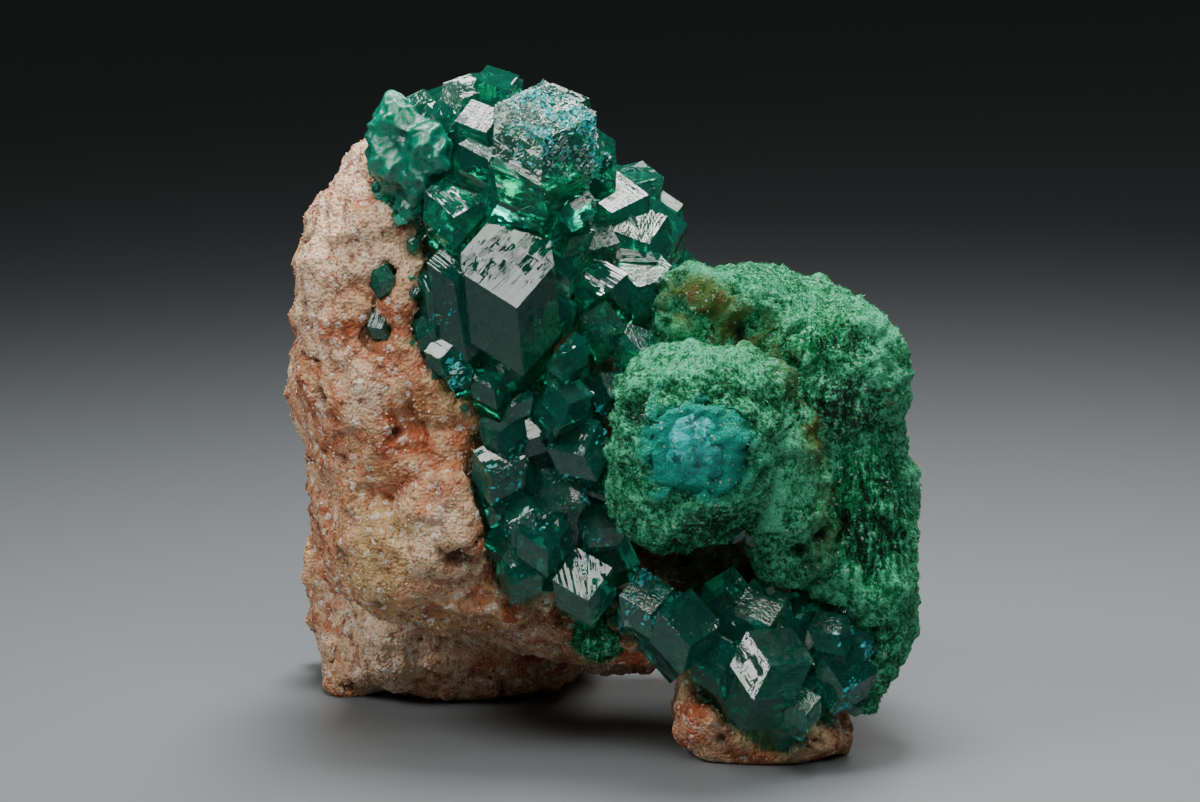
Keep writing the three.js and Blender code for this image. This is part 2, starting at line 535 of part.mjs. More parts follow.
function malachiteWhole(grow = 0) {
  const block = sectionBlock(LUMP, MALACHITE_DENTS, () => 0, grow);
  const { grain, seed } = MALACHITE_WEATHER;
  const lumps = MALACHITE_LUMPS.map((spec, index) => lump(spec, { grain, seed: seed + index }, grow));
  return joined([block, ...lumps]);
}

/** A lone crystal, set in the stone where a straight look from the front meets it. */
function loneSpec(spec, stone) {
  const [across, up] = spec.seen;
  const origin = seenPoint([across, up, -IN_FRONT]);
  const inwards = new THREE.Vector3(0, Math.cos(FRONT_TILT), -Math.sin(FRONT_TILT));
  const [hit] = new THREE.Raycaster(origin, inwards).intersectObject(stone);
  return { ...spec, at: [across, up, hit.point.y - LONE_PROUD], length: LONE_LENGTH * spec.size };
}

// Pieces, from the ones that keep their whole shape to the stone that everything is set in

const main = cluster(MAIN_CRYSTALS, MAIN_BED);
const mainRoom = cluster(MAIN_CRYSTALS, MAIN_BED, GAP);
const upper = cluster(UPPER_CRYSTALS, UPPER_BED).subtract(mainRoom);
const upperRoom = cluster(UPPER_CRYSTALS, UPPER_BED, GAP);
const vein = cluster(VEIN_CRYSTALS, VEIN_BED).subtract(upperRoom).subtract(mainRoom);
const veinRoom = cluster(VEIN_CRYSTALS, VEIN_BED, GAP);
const lower = cluster(LOWER_CRYSTALS, LOWER_BED).subtract(veinRoom);
const lowerRoom = cluster(LOWER_CRYSTALS, LOWER_BED, GAP);
const frontRoom = joined([upperRoom, mainRoom, veinRoom, lowerRoom]);
const back = cluster(BACK_CRYSTALS, BACK_BED).subtract(frontRoom);
const crust = cluster(CRUST_CRYSTALS, CRUST_BED).subtract(upperRoom).subtract(mainRoom);
const patch = lump(PATCH, PATCH_WEATHER);
const patchRoom = lump(PATCH, PATCH_WEATHER, GAP);
const knobCrystals = crystals(KNOB_CRYSTALS);
const knobRoom = crystals(KNOB_CRYSTALS, GAP);
const tuft = lump(TUFT, TUFT_WEATHER).subtract(veinRoom).subtract(lowerRoom);
const tuftRoom = lump(TUFT, TUFT_WEATHER, GAP);

const upperHollow = hollow(UPPER_CRYSTALS, UPPER_BED);
const mainHollow = hollow(MAIN_CRYSTALS, MAIN_BED);
const veinHollow = hollow(VEIN_CRYSTALS, VEIN_BED);
const lowerHollow = hollow(LOWER_CRYSTALS, LOWER_BED);
const backHollow = hollow(BACK_CRYSTALS, BACK_BED);
const crustHollow = hollow(CRUST_CRYSTALS, CRUST_BED);

const malachite = [veinRoom, lowerHollow, backHollow, patchRoom, knobRoom]
  .reduce((whole, room) => whole.subtract(room), malachiteWhole());
const bareStone = stoneWhole();
const bareStoneMesh = new THREE.Mesh(geometryOf(bareStone));
const loneSpecs = LONE_CRYSTALS.map((spec) => loneSpec(spec, bareStoneMesh));
const stone = [
  upperHollow, mainHollow, veinHollow, lowerHollow, backHollow, crustHollow,
  tuftRoom, malachiteWhole(GAP), crystals(loneSpecs, GAP),
].reduce((whole, room) => whole.subtract(room), bareStone);

// The finished group, with its origin under the middle of its box

const specimen = new THREE.Group();

function addPiece(name, body, finish) {
  const tidy = largestBody(body.simplify(EVEN_OUT));
  const mesh = new THREE.Mesh(geometryOf(tidy), new THREE.MeshStandardMaterial(FINISHES[finish]));
  mesh.name = name;
  specimen.add(mesh);
}

addPiece('matrix_stone', stone, 'stone');
addPiece('upper_crystals', upper, 'dioptase');
addPiece('main_crystals', main, 'dioptase');
addPiece('vein_crystals', vein, 'dioptase');
addPiece('lower_crystals', lower, 'dioptase');
addPiece('back_crystals', back, 'dioptase');
addPiece('teal_crust', crust, 'crust');
addPiece('malachite_lump', malachite, 'malachite');
addPiece('chrysocolla_patch', patch, 'chrysocolla');
addPiece('knob_crystals', knobCrystals, 'dioptase');
addPiece('malachite_tuft', tuft, 'malachite');
loneSpecs.forEach((spec) => addPiece(spec.name, crystal(spec), 'dioptase'));

const box = new THREE.Box3().setFromObject(specimen);
const centre = box.getCenter(new THREE.Vector3());
specimen.position.set(-centre.x, -centre.y, -box.min.z);

export default specimen;
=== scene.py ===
"""Dresses a hand specimen of dioptase: stone, green crystals, malachite and a blue patch.

Lengths are in metres, and MM turns millimetres into them. The front looks along -Y.
"""

import logging
import math
from dataclasses import dataclass, field
from enum import Enum

import bpy
import numpy as np
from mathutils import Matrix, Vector


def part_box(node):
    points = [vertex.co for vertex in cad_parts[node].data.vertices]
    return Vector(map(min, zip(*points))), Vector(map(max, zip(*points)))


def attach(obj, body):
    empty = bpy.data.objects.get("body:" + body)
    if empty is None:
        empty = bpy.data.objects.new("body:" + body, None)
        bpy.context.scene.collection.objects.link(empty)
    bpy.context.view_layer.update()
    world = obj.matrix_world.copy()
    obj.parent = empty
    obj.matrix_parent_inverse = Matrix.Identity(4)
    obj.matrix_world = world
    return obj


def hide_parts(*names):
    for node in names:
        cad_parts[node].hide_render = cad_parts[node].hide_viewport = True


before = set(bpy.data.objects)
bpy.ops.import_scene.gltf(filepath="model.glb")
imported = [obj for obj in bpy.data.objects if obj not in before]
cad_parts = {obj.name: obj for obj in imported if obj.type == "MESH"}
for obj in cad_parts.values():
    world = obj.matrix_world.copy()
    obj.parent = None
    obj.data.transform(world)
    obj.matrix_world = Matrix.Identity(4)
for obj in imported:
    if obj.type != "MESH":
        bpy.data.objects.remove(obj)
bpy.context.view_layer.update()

MM = 0.001
SAME_PLACE = 1e-3 * MM
NO_LENGTH = 1e-12
ONE_PLANE = math.cos(math.radians(1.5))
BODY = "root"
LOG = logging.getLogger("specimen")
Array = np.ndarray
Object = bpy.types.Object
Material = bpy.types.Material
Socket = bpy.types.NodeSocket


class Slot(Enum):
    """The record's material slots."""

    STONE = "stone"
    DIOPTASE = "dioptase"
    CRUST = "crust"
    MALACHITE = "malachite"
    CHRYSOCOLLA = "chrysocolla"


# Noise


def lattice(cells: Array, seed: int) -> Array:
    """Gives repeatable numbers from 0 to 1 for whole lattice corners.

    Each corner's three whole numbers are multiplied by large odd numbers, mixed by exclusive or,
    and scrambled by shifts and products that wrap at 32 bits.

    Args:
        cells: Whole numbers, (..., 3).
        seed: Chooses one of many unlike lattices.

    Returns:
        An array of the leading shape.
    """
    c = cells.astype(np.int64).astype(np.uint32)
    h = c[..., 0] * np.uint32(374761393) ^ c[..., 1] * np.uint32(668265263)
    h ^= c[..., 2] * np.uint32(1274126177) ^ np.uint32((seed + 1) * 2246822519 % 2**32)
    h = (h ^ (h >> np.uint32(13))) * np.uint32(1274126177)
    h = (h ^ (h >> np.uint32(15))) * np.uint32(2246822519)
    return (h ^ (h >> np.uint32(16))).astype(np.float64) / 2**32


def smooth_noise(points: Array, grain: float, seed: int) -> Array:
    """Smooth noise from -1 to 1.

    The lattice numbers at the eight corners round a point are blended by the product of three
    smoothstep shares.

    Args:
        points: Places, (n, 3).
        grain: Size of one bump.
        seed: Which lattice.

    Returns:
        One value for each point.
    """
    cell = points / grain
    low = np.floor(cell)
    share = cell - low
    share = share * share * (3 - 2 * share)
    total = np.zeros(len(points))
    for corner in range(8):
        step = np.array([corner & 1, corner >> 1 & 1, corner >> 2 & 1])
        weight = np.where(step, share, 1 - share).prod(1)
        total += weight * lattice(low + step, seed)
    return 2 * total - 1


def layered_noise(points: Array, grain: float, seed: int, layers: int = 3, fade: float = 0.5) -> Array:
    """Adds layers of smooth noise, each half as coarse and `fade` as strong as the one before."""
    total = np.zeros(len(points))
    for layer in range(layers):
        total += fade**layer * smooth_noise(points, grain / 2**layer, seed + 7 * layer)
    return total


def grain_noise(points: Array, grain: float, seed: int) -> Array:
    """Packed grains: how near each point is to a grain's middle.

    Every lattice cell holds one middle at a repeatable place, and the nearest of the 27 round a
    point is taken. The value is 1 at the middle and falls by the distance in cells.

    Args:
        points: Places, (n, 3).
        grain: Size of one grain.
        seed: Which lattice.

    Returns:
        Nearness up to 1, one for each point.
    """
    cell = points / grain
    low = np.floor(cell)
    gap = np.full(len(points), np.inf)
    for index in range(27):
        corner = low + np.array([index % 3 - 1, index // 3 % 3 - 1, index // 9 - 1])
        middle = corner + np.stack([lattice(corner, seed + k) for k in range(3)], 1)
        gap = np.minimum(gap, np.linalg.norm(cell - middle, axis=1))
    return 1 - gap


def noise_vectors(points: Array, grain: float, seed: int) -> Array:
    """A smooth noise vector for each point, each of its parts from -1 to 1."""
    return np.stack([smooth_noise(points, grain, seed + k) for k in range(3)], 1)


def step_up(values: Array, low: float, high: float) -> Array:
    """Rises smoothly from 0 at `low` to 1 at `high`."""
    t = np.clip((values - low) / (high - low), 0, 1)
    return t * t * (3 - 2 * t)


def near(points: Array, middle: tuple[float, float, float], reach: tuple[float, float, float]) -> Array:
    """A soft blob: 1 at `middle`, 0 past the ellipsoid of radii `reach`, both in millimetres."""
    away = np.linalg.norm((points / MM - np.array(middle)) / np.array(reach), axis=1)
    return step_up(1 - away, 0, 0.6)


def nearest(points: Array, blobs: tuple) -> Array:
    """The strongest of some soft blobs, each given as its middle and its reach."""
    return np.max([near(points, middle, reach) for middle, reach in blobs], axis=0)


# Meshes


def unit(vectors: Array) -> Array:
    """Vectors brought to length 1, where they have any length."""
    return vectors / np.maximum(np.linalg.norm(vectors, axis=-1, keepdims=True), NO_LENGTH)


def face_normals(corners: Array) -> Array:
    """The unit normals of triangles given by their corners, (m, 3, 3)."""
    return unit(np.cross(corners[:, 1] - corners[:, 0], corners[:, 2] - corners[:, 0]))


def merged_mesh(obj: Object) -> tuple[Array, Array]:
    """The corners and triangles of a CAD node with its shared corners merged.

    Args:
        obj: The node's object.

    Returns:
        Places (n, 3) and triangles (m, 3).
    """
    mesh = obj.data
    mesh.calc_loop_triangles()
    places = np.zeros(len(mesh.vertices) * 3)
    mesh.vertices.foreach_get("co", places)
    faces = np.zeros(len(mesh.loop_triangles) * 3, dtype=np.int64)
    mesh.loop_triangles.foreach_get("vertices", faces)
    keys = np.round(places.reshape(-1, 3) / SAME_PLACE).astype(np.int64)
    _, first, index = np.unique(keys, axis=0, return_index=True, return_inverse=True)
    faces = index.reshape(-1)[faces].reshape(-1, 3)
    whole = (faces[:, 0] != faces[:, 1]) & (faces[:, 1] != faces[:, 2]) & (faces[:, 0] != faces[:, 2])
    return places.reshape(-1, 3)[first], faces[whole]


def make_object(name: str, places: Array, faces: Array, smooth: bool) -> Object:
    """Puts arrays into a new object at the origin.

    Args:
        name: The piece's name.
        places: Corners, (n, 3).
        faces: Corner numbers, (m, k), all of one number of sides.
        smooth: Whether the faces shade into each other.

    Returns:
        The object, linked to the scene.
    """
    mesh = bpy.data.meshes.new(name)
    sides = faces.shape[1]
    mesh.vertices.add(len(places))
    mesh.vertices.foreach_set("co", places.astype(np.float32).ravel())
    mesh.loops.add(faces.size)
    mesh.loops.foreach_set("vertex_index", faces.astype(np.int32).ravel())
    mesh.polygons.add(len(faces))
    mesh.polygons.foreach_set("loop_start", np.arange(0, faces.size, sides, dtype=np.int32))
    mesh.polygons.foreach_set("use_smooth", np.full(len(faces), smooth))
    mesh.update(calc_edges=True)
    mesh.validate()
    obj = bpy.data.objects.new(name, mesh)
    bpy.context.scene.collection.objects.link(obj)
    return obj


def vertex_arrays(obj: Object) -> tuple[Array, Array]:
    """The places and normals of an object's corners, (n, 3) each."""
    mesh = obj.data
    places = np.zeros(len(mesh.vertices) * 3)
    normals = np.zeros(len(mesh.vertices) * 3)
    mesh.vertices.foreach_get("co", places)
    mesh.vertices.foreach_get("normal", normals)
    return places.reshape(-1, 3), normals.reshape(-1, 3)


def set_places(obj: Object, places: Array) -> None:
    """Moves an object's corners to new places."""
    obj.data.vertices.foreach_set("co", places.astype(np.float32).ravel())
    obj.data.update()


def set_values(obj: Object, name: str, values: Array, domain: str = "POINT") -> None:
    """Stores one number for each corner, or each face, as an attribute that a material reads."""
    attribute = obj.data.attributes.new(name, "FLOAT", domain)
    attribute.data.foreach_set("value", values.astype(np.float32))


def set_vectors(obj: Object, name: str, vectors: Array) -> None:
    """Stores one vector for each corner of each face, as an attribute that a material reads."""
    attribute = obj.data.attributes.new(name, "FLOAT_VECTOR", "CORNER")
    attribute.data.foreach_set("vector", vectors.astype(np.float32).ravel())


def remeshed(name: str, places: Array, faces: Array, voxel: float, rounds: int,
             filled: float = 0.0) -> Object:
    """Turns a coarse closed mesh into a fine even one and rounds its edges off.

    To fill gaps, the surface first moves outward until they close, is made anew there, and moves
    most of the way back.

    Args:
        name: The new piece's name.
        places: Corners, (n, 3).
        faces: Triangles, (m, 3).
        voxel: Size of the fine mesh's squares.
        rounds: How many times each corner moves halfway to the middle of its neighbours.
        filled: How far it moves outward to fill gaps, or 0 to leave them.

    Returns:
        The fine object.
    """
    rough = make_object(name + "_rough", places, faces, True)
    for offset in (filled, -0.85 * filled) if filled else (0.0,):
        remesh = rough.modifiers.new("fine", "REMESH")
        remesh.mode = "VOXEL"
        remesh.voxel_size = voxel
        if offset:
            move = rough.modifiers.new("offset", "DISPLACE")
            move.strength = offset
            move.mid_level = 0.0
    soften = rough.modifiers.new("soften", "SMOOTH")
    soften.factor = 0.5
    soften.iterations = rounds
    graph = bpy.context.evaluated_depsgraph_get()
    mesh = bpy.data.meshes.new_from_object(rough.evaluated_get(graph))
    bpy.data.objects.remove(rough)
    mesh.name = name
    mesh.polygons.foreach_set("use_smooth", np.full(len(mesh.polygons), True))
    fine = bpy.data.objects.new(name, mesh)
    bpy.context.scene.collection.objects.link(fine)
    bpy.context.view_layer.update()
    return fine


def object_triangles(obj: Object) -> Array:
    """The corner numbers of an object's triangles, (m, 3)."""
    obj.data.calc_loop_triangles()
    faces = np.zeros(len(obj.data.loop_triangles) * 3, dtype=np.int64)
    obj.data.loop_triangles.foreach_get("vertices", faces)
    return faces.reshape(-1, 3)


def surface_samples(places: Array, normals: Array, faces: Array, count: int,
                    rng: np.random.Generator) -> tuple[Array, Array]:
    """Even random places on a surface of triangles.

    A face is drawn by its area, and a place in it by blending its corners with random shares.

    Args:
        places: Corners, (n, 3).
        normals: Their normals, (n, 3).
        faces: Triangles, (m, 3).
        count: How many.
        rng: Source of the draws.

    Returns:
        Places and normals, (count, 3) each.
    """
    a, b, c = (places[faces[:, k]] for k in range(3))
    area = np.linalg.norm(np.cross(b - a, c - a), axis=1)
    pick = rng.choice(len(faces), count, p=area / area.sum())
    shares = rng.dirichlet((1, 1, 1), count)[:, :, None]
    corners = faces[pick]
    spot = (places[corners] * shares).sum(1)
    return spot, unit((normals[corners] * shares).sum(1))


class SeamField:
    """How close a place is to some CAD nodes, read from a coarse grid.

    Cells that the nodes' surfaces pass through hold 1. The grid is then blurred along each axis
    by the mean of three neighbours, again and again, so it fades with distance.
    """

    def __init__(self, nodes: tuple[str, ...], cell: float = 0.2 * MM, rounds: int = 3) -> None:
        """Fills and blurs the grid.

        Args:
            nodes: Names of the CAD nodes.
            cell: Size of a cell.
            rounds: How many times it is blurred.
        """
        rng = np.random.default_rng(3)
        found = []
        for node in nodes:
            places, faces = merged_mesh(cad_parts[node])
            found.append(surface_samples(places, places, faces, 40000, rng)[0])
        samples = np.concatenate(found)
        self.cell = cell
        self.low = samples.min(0) - (rounds + 2) * cell
        index = ((samples - self.low) / cell).astype(int)
        self.grid = np.zeros(index.max(0) + rounds + 3)
        self.grid[tuple(index.T)] = 1
        for axis in (0, 1, 2) * rounds:
            self.grid = (self.grid + np.roll(self.grid, 1, axis) + np.roll(self.grid, -1, axis)) / 3

    def near(self, points: Array) -> Array:
        """1 at the nodes' surface and 0 a few cells away, for each point."""
        index = np.floor((points - self.low) / self.cell).astype(int)
        inside = ((index >= 0) & (index < self.grid.shape)).all(1)
        index = np.clip(index, 0, np.array(self.grid.shape) - 1)
        return np.where(inside, step_up(self.grid[tuple(index.T)], 0.01, 0.2), 0)


def turned_axes(axes: Array, spins: Array) -> Array:
    """Turns that carry local Z onto each axis, after a spin about it, (n, 3, 3), columns X, Y, Z."""
    z = unit(axes)
    helper = np.where(np.abs(z[:, 2:]) < 0.9, [[0.0, 0.0, 1.0]], [[1.0, 0.0, 0.0]])
    x = unit(np.cross(helper, z))
    y = np.cross(z, x)
    cos, sin = np.cos(spins)[:, None], np.sin(spins)[:, None]
    return np.stack([x * cos + y * sin, y * cos - x * sin, z], axis=2)


def scattered(template: Array, faces: Array, spots: Array, turns: Array,
              sizes: Array) -> tuple[Array, Array]:
    """Copies of one small shape as joined arrays.

    Each copy's corners are the template's, times its sizes, turned, and moved to its spot. Its faces
    are the template's with the corner numbers shifted.

    Args:
        template: Corners of one shape, (k, 3), or of each, (n, k, 3).
        faces: Its faces, (m, s).
        spots: Where each copy goes, (n, 3).
        turns: How each is turned, (n, 3, 3).
        sizes: Size along the shape's X, Y and Z, (n, 3).

    Returns:
        All corners and all faces.
    """
    shape = template if template.ndim == 3 else template[None]
    local = shape * sizes[:, None, :]
    places = np.einsum("nij,nkj->nki", turns, local) + spots[:, None, :]
    shift = np.arange(len(spots))[:, None, None] * template.shape[-2]
    return places.reshape(-1, 3), (faces[None] + shift).reshape(-1, faces.shape[1])


def samples_on(obj: Object, count: int, rng: np.random.Generator) -> tuple[Array, Array]:
    """Random spots on a finished piece, and the normal at each."""
    return surface_samples(*vertex_arrays(obj), object_triangles(obj), count, rng)


# Node helpers


class Tree:
    """Builds one node tree by short calls."""

    def __init__(self, tree: bpy.types.NodeTree) -> None:
        """Takes a tree to build in."""
        self.tree = tree

    def add(self, kind: str, **settings: object) -> bpy.types.Node:
        """Adds a node and sets its properties."""
        node = self.tree.nodes.new(kind)
        for key, value in settings.items():
            setattr(node, key, value)
        return node

    def link(self, source: Socket, target: Socket) -> None:
        """Links one socket to another."""
        self.tree.links.new(source, target)

    def feed(self, target: Socket, value: object) -> None:
        """Links a socket, or sets a plain value."""
        if isinstance(value, Socket):
            self.link(value, target)
        else:
            target.default_value = value

    def place(self) -> Socket:
        """The object coordinates."""
        return self.add("ShaderNodeTexCoord").outputs["Object"]

    def math(self, operation: str, a: object, b: object = 0.0) -> Socket:
        """One sum, product or other step on two numbers."""
        node = self.add("ShaderNodeMath", operation=operation)
        self.feed(node.inputs[0], a)
        self.feed(node.inputs[1], b)
        return node.outputs[0]

    def plus(self, a: object, b: object) -> Socket:
        """The sum of two numbers."""
        return self.math("ADD", a, b)

    def less(self, a: object, b: object) -> Socket:
        """The first number less the second."""
        return self.math("SUBTRACT", a, b)

    def times(self, a: object, b: object) -> Socket:
        """The product of two numbers."""
        return self.math("MULTIPLY", a, b)

    def larger(self, a: object, b: object) -> Socket:
        """The larger of two numbers."""
        return self.math("MAXIMUM", a, b)


class Group(Tree):
    """Builds a shared node group by short calls."""

    def __init__(self, name: str, inputs: dict[str, float | None], outputs: dict[str, str]) -> None:
        """Starts an empty group.

        Args:
            name: Its name.
            inputs: Each input and its usual value, or None where it takes a vector.
            outputs: Each output and its kind, Float or Vector.
        """
        super().__init__(bpy.data.node_groups.new(name, "ShaderNodeTree"))
        interface = self.tree.interface
        for key, value in inputs.items():
            kind = "Vector" if value is None else "Float"
            socket = interface.new_socket(key, in_out="INPUT", socket_type="NodeSocket" + kind)
            if value is not None:
                socket.default_value = value
        for key, kind in outputs.items():
            interface.new_socket(key, in_out="OUTPUT", socket_type="NodeSocket" + kind)
        self.inputs = self.add("NodeGroupInput").outputs
        self.outputs = self.add("NodeGroupOutput").inputs

    def cells(self, where: Socket, scale: Socket, distance: str) -> tuple[bpy.types.Node, bpy.types.Node]:
        """Packed cells with `scale` of them to the metre, and their random colours split up."""
        cells = self.add("ShaderNodeTexVoronoi", distance=distance)
        self.link(where, cells.inputs["Vector"])
        self.link(scale, cells.inputs["Scale"])
        split = self.add("ShaderNodeSeparateColor")
        self.link(cells.outputs["Color"], split.inputs["Color"])
        return cells, split

    def vectors(self, operation: str, a: object, b: object = (0.0, 0.0, 0.0)) -> Socket:
        """One sum, product or other step on two vectors."""
        node = self.add("ShaderNodeVectorMath", operation=operation)
        self.feed(node.inputs[0], a)
        self.feed(node.inputs[1], b)
        return node.outputs[0]


class Nodes(Tree):
    """Builds one material's nodes by short calls."""

    def __init__(self, name: str) -> None:
        """Starts an empty material of that name."""
        self.material = bpy.data.materials.new(name)
        self.material.use_nodes = True
        super().__init__(self.material.node_tree)
        self.tree.nodes.clear()
        self.output = self.add("ShaderNodeOutputMaterial")

    def attribute(self, name: str) -> Socket:
        """A number stored on the mesh."""
        return self.add("ShaderNodeAttribute", attribute_name=name).outputs["Fac"]

    def vector(self, name: str) -> Socket:
        """A vector stored on the mesh."""
        return self.add("ShaderNodeAttribute", attribute_name=name).outputs["Vector"]

    def noise(self, scale: float, detail: float = 3, rough: float = 0.55,
              where: Socket | None = None) -> Socket:
        """A noise value from 0 to 1, with `scale` bumps to the metre, at the object's coordinates."""
        node = self.add("ShaderNodeTexNoise")
        node.inputs["Scale"].default_value = scale
        node.inputs["Detail"].default_value = detail
        node.inputs["Roughness"].default_value = rough
        self.link(self.place() if where is None else where, node.inputs["Vector"])
        return node.outputs["Fac"]

    def stretched(self, where: Socket, stretch: tuple[float, float, float]) -> Socket:
        """Coordinates with `stretch` times as much pattern along each axis."""
        mapping = self.add("ShaderNodeMapping")
        mapping.inputs["Scale"].default_value = stretch
        self.link(where, mapping.inputs["Vector"])
        return mapping.outputs["Vector"]

    def ramp(self, value: Socket, low: float, high: float) -> Socket:
        """Maps low to 0 and high to 1, smoothly."""
        node = self.add("ShaderNodeMapRange", interpolation_type="SMOOTHSTEP")
        node.inputs["From Min"].default_value = low
        node.inputs["From Max"].default_value = high
        self.link(value, node.inputs["Value"])
        return node.outputs["Result"]

    def mix(self, share: object, a: object, b: object, kind: str = "RGBA") -> Socket:
        """Blends two colours, or two values of another kind."""
        node = self.add("ShaderNodeMix", data_type=kind)
        self.feed(node.inputs["Factor"], share)
        self.feed(node.inputs["A"], a)
        self.feed(node.inputs["B"], b)
        return node.outputs["Result"]

    def coats(self, colour: object, *coats: tuple[object, object]) -> object:
        """Lays colours over a first one, each by its share, in the order given.

        Args:
            colour: The first colour.
            coats: The share and the colour of each that goes over it.

        Returns:
            The last colour.
        """
        for share, over in coats:
            colour = self.mix(share, colour, over)
        return colour

    def bump(self, height: Socket, distance: float, strength: float = 1.0,
             under: Socket | None = None) -> Socket:
        """A normal from a height, on top of another normal if one is given."""
        node = self.add("ShaderNodeBump")
        node.inputs["Strength"].default_value = strength
        node.inputs["Distance"].default_value = distance
        self.link(height, node.inputs["Height"])
        if under is not None:
            self.link(under, node.inputs["Normal"])
        return node.outputs["Normal"]

    def group(self, tree: bpy.types.NodeTree, **values: object) -> bpy.types.Node:
        """Places a shared node group and feeds its inputs by name, with _ for a space."""
        node = self.add("ShaderNodeGroup", node_tree=tree)
        for key, value in values.items():
            self.feed(node.inputs[key.replace("_", " ")], value)
        return node

    def surface(self, **values: object) -> bpy.types.Node:
        """The Principled shader, fed by input name, with _ for a space."""
        shader = self.add("ShaderNodeBsdfPrincipled")
        for key, value in values.items():
            self.feed(shader.inputs[key.replace("_", " ")], value)
        self.link(shader.outputs["BSDF"], self.output.inputs["Surface"])
        return shader

    def absorption(self, colour: tuple, density: float) -> None:
        """Darkens light on its way through, by a plain colour and density."""
        inside = self.add("ShaderNodeVolumeAbsorption")
        inside.inputs["Color"].default_value = colour
        inside.inputs["Density"].default_value = density
        self.link(inside.outputs["Volume"], self.output.inputs["Volume"])


def rgb(red: int, green: int, blue: int) -> tuple[float, float, float, float]:
    """A colour given as the eye sees it, 0 to 255, as the linear values that shaders take."""
    def linear(part: int) -> float:
        """One part of the colour."""
        share = part / 255
        return share / 12.92 if share <= 0.04045 else ((share + 0.055) / 1.055) ** 2.4
    return (linear(red), linear(green), linear(blue), 1.0)


def sparkle_group() -> bpy.types.NodeTree:
    """A shared group: fine mineral grains, as a tone for each grain, a glint mask and a height.

    Returns:
        The group, with inputs Grains and Glint, and outputs Tone, Glint and Height.
    """
    g = Group("mineral_grains", {"Grains": 4000.0, "Glint": 0.9},
              {"Tone": "Float", "Glint": "Float", "Height": "Float"})
    cells, split = g.cells(g.place(), g.inputs["Grains"], "EUCLIDEAN")
    g.link(split.outputs["Red"], g.outputs["Tone"])
    g.link(g.math("GREATER_THAN", split.outputs["Green"], g.inputs["Glint"]), g.outputs["Glint"])
    g.link(g.less(1.0, cells.outputs["Distance"]), g.outputs["Height"])
    return g.tree


def mosaic_group() -> bpy.types.NodeTree:
    """A shared group: a flat crystal face broken into plates that each lean a little.

    Returns:
        The group, with inputs Place, Plates and Lean, and outputs Normal and Tone.
    """
    g = Group("growth_mosaic", {"Place": None, "Plates": 1500.0, "Lean": 0.06},
              {"Normal": "Vector", "Tone": "Float"})
    cells, split = g.cells(g.inputs["Place"], g.inputs["Plates"], "CHEBYCHEV")
    centred = g.vectors("SUBTRACT", cells.outputs["Color"], (0.5, 0.5, 0.5))
    lean = g.vectors("MULTIPLY", centred, g.inputs["Lean"])
    leaning = g.vectors("ADD", g.add("ShaderNodeNewGeometry").outputs["Normal"], lean)
    g.link(g.vectors("NORMALIZE", leaning), g.outputs["Normal"])
    g.link(split.outputs["Red"], g.outputs["Tone"])
    return g.tree


# Finishes


@dataclass(frozen=True)
class StoneFinish:
    """Granular pink, cream and brown stone, read from the stone's own attributes."""

    cream: tuple = rgb(240, 196, 150)
    light: tuple = rgb(252, 222, 186)
    pink: tuple = rgb(204, 122, 84)
    rust: tuple = rgb(186, 76, 34)
    sand: tuple = rgb(216, 186, 124)
    dark: tuple = rgb(74, 34, 22)
    white: tuple = rgb(255, 248, 236)
    brown: tuple = rgb(126, 58, 36)
    green: tuple = rgb(8, 66, 50)

    def make(self, grains: bpy.types.NodeTree) -> Material:
        """Builds the material.

        Args:
            grains: The shared grain group.

        Returns:
            The material.
        """
        n = Nodes("stone")
        fine = n.group(grains, Grains=6400.0, Glint=0.9)
        coarse = n.group(grains, Grains=3300.0, Glint=0.88)
        patchy = n.ramp(n.noise(700, 5, 0.68), 0.38, 0.6)
        stained = n.times(n.ramp(n.noise(1900, 4, 0.7), 0.5, 0.68), 0.8)
        # Painted glints: white on a few grains.
        bright = n.times(n.times(coarse.outputs["Glint"], fine.outputs["Tone"]), 0.85)
        # The light colour over pale stone is partly a painted highlight on the upper left.
        colour = n.coats(self.pink, (patchy, self.cream), (n.attribute("pale"), self.light),
                         (n.attribute("rust"), self.rust), (n.attribute("sand"), self.sand),
                         (stained, self.brown), (n.times(fine.outputs["Tone"], 0.26), self.dark),
                         # Painted shade: the dark colour again over the pits, the cracks and the ledges'
                         # underside.
                         (bright, self.white), (n.attribute("painted_shade"), self.dark),
                         (n.attribute("crust"), self.green))
        height = n.plus(fine.outputs["Height"], coarse.outputs["Height"])
        rough = n.less(0.82, n.times(fine.outputs["Glint"], 0.56))
        n.surface(Base_Color=colour, Roughness=rough, Normal=n.bump(height, 0.1 * MM, 0.9), IOR=1.5)
        return n.material


@dataclass(frozen=True)
class GrainFinish:
    """Small mineral grains, from brown to clear white, by each grain's own tone."""

    low: tuple = rgb(150, 88, 62)
    middle: tuple = rgb(218, 168, 134)
    high: tuple = rgb(255, 240, 220)

    def make(self) -> Material:
        """Builds the material and returns it."""
        n = Nodes("stone_grains")
        tone = n.attribute("tone")
        colour = n.coats(self.low, (n.ramp(tone, 0.0, 0.55), self.middle),
                         (n.ramp(tone, 0.5, 1.0), self.high))
        rough = n.less(0.6, n.times(tone, 0.42))
        n.surface(Base_Color=colour, Roughness=rough, IOR=1.54)
        return n.material


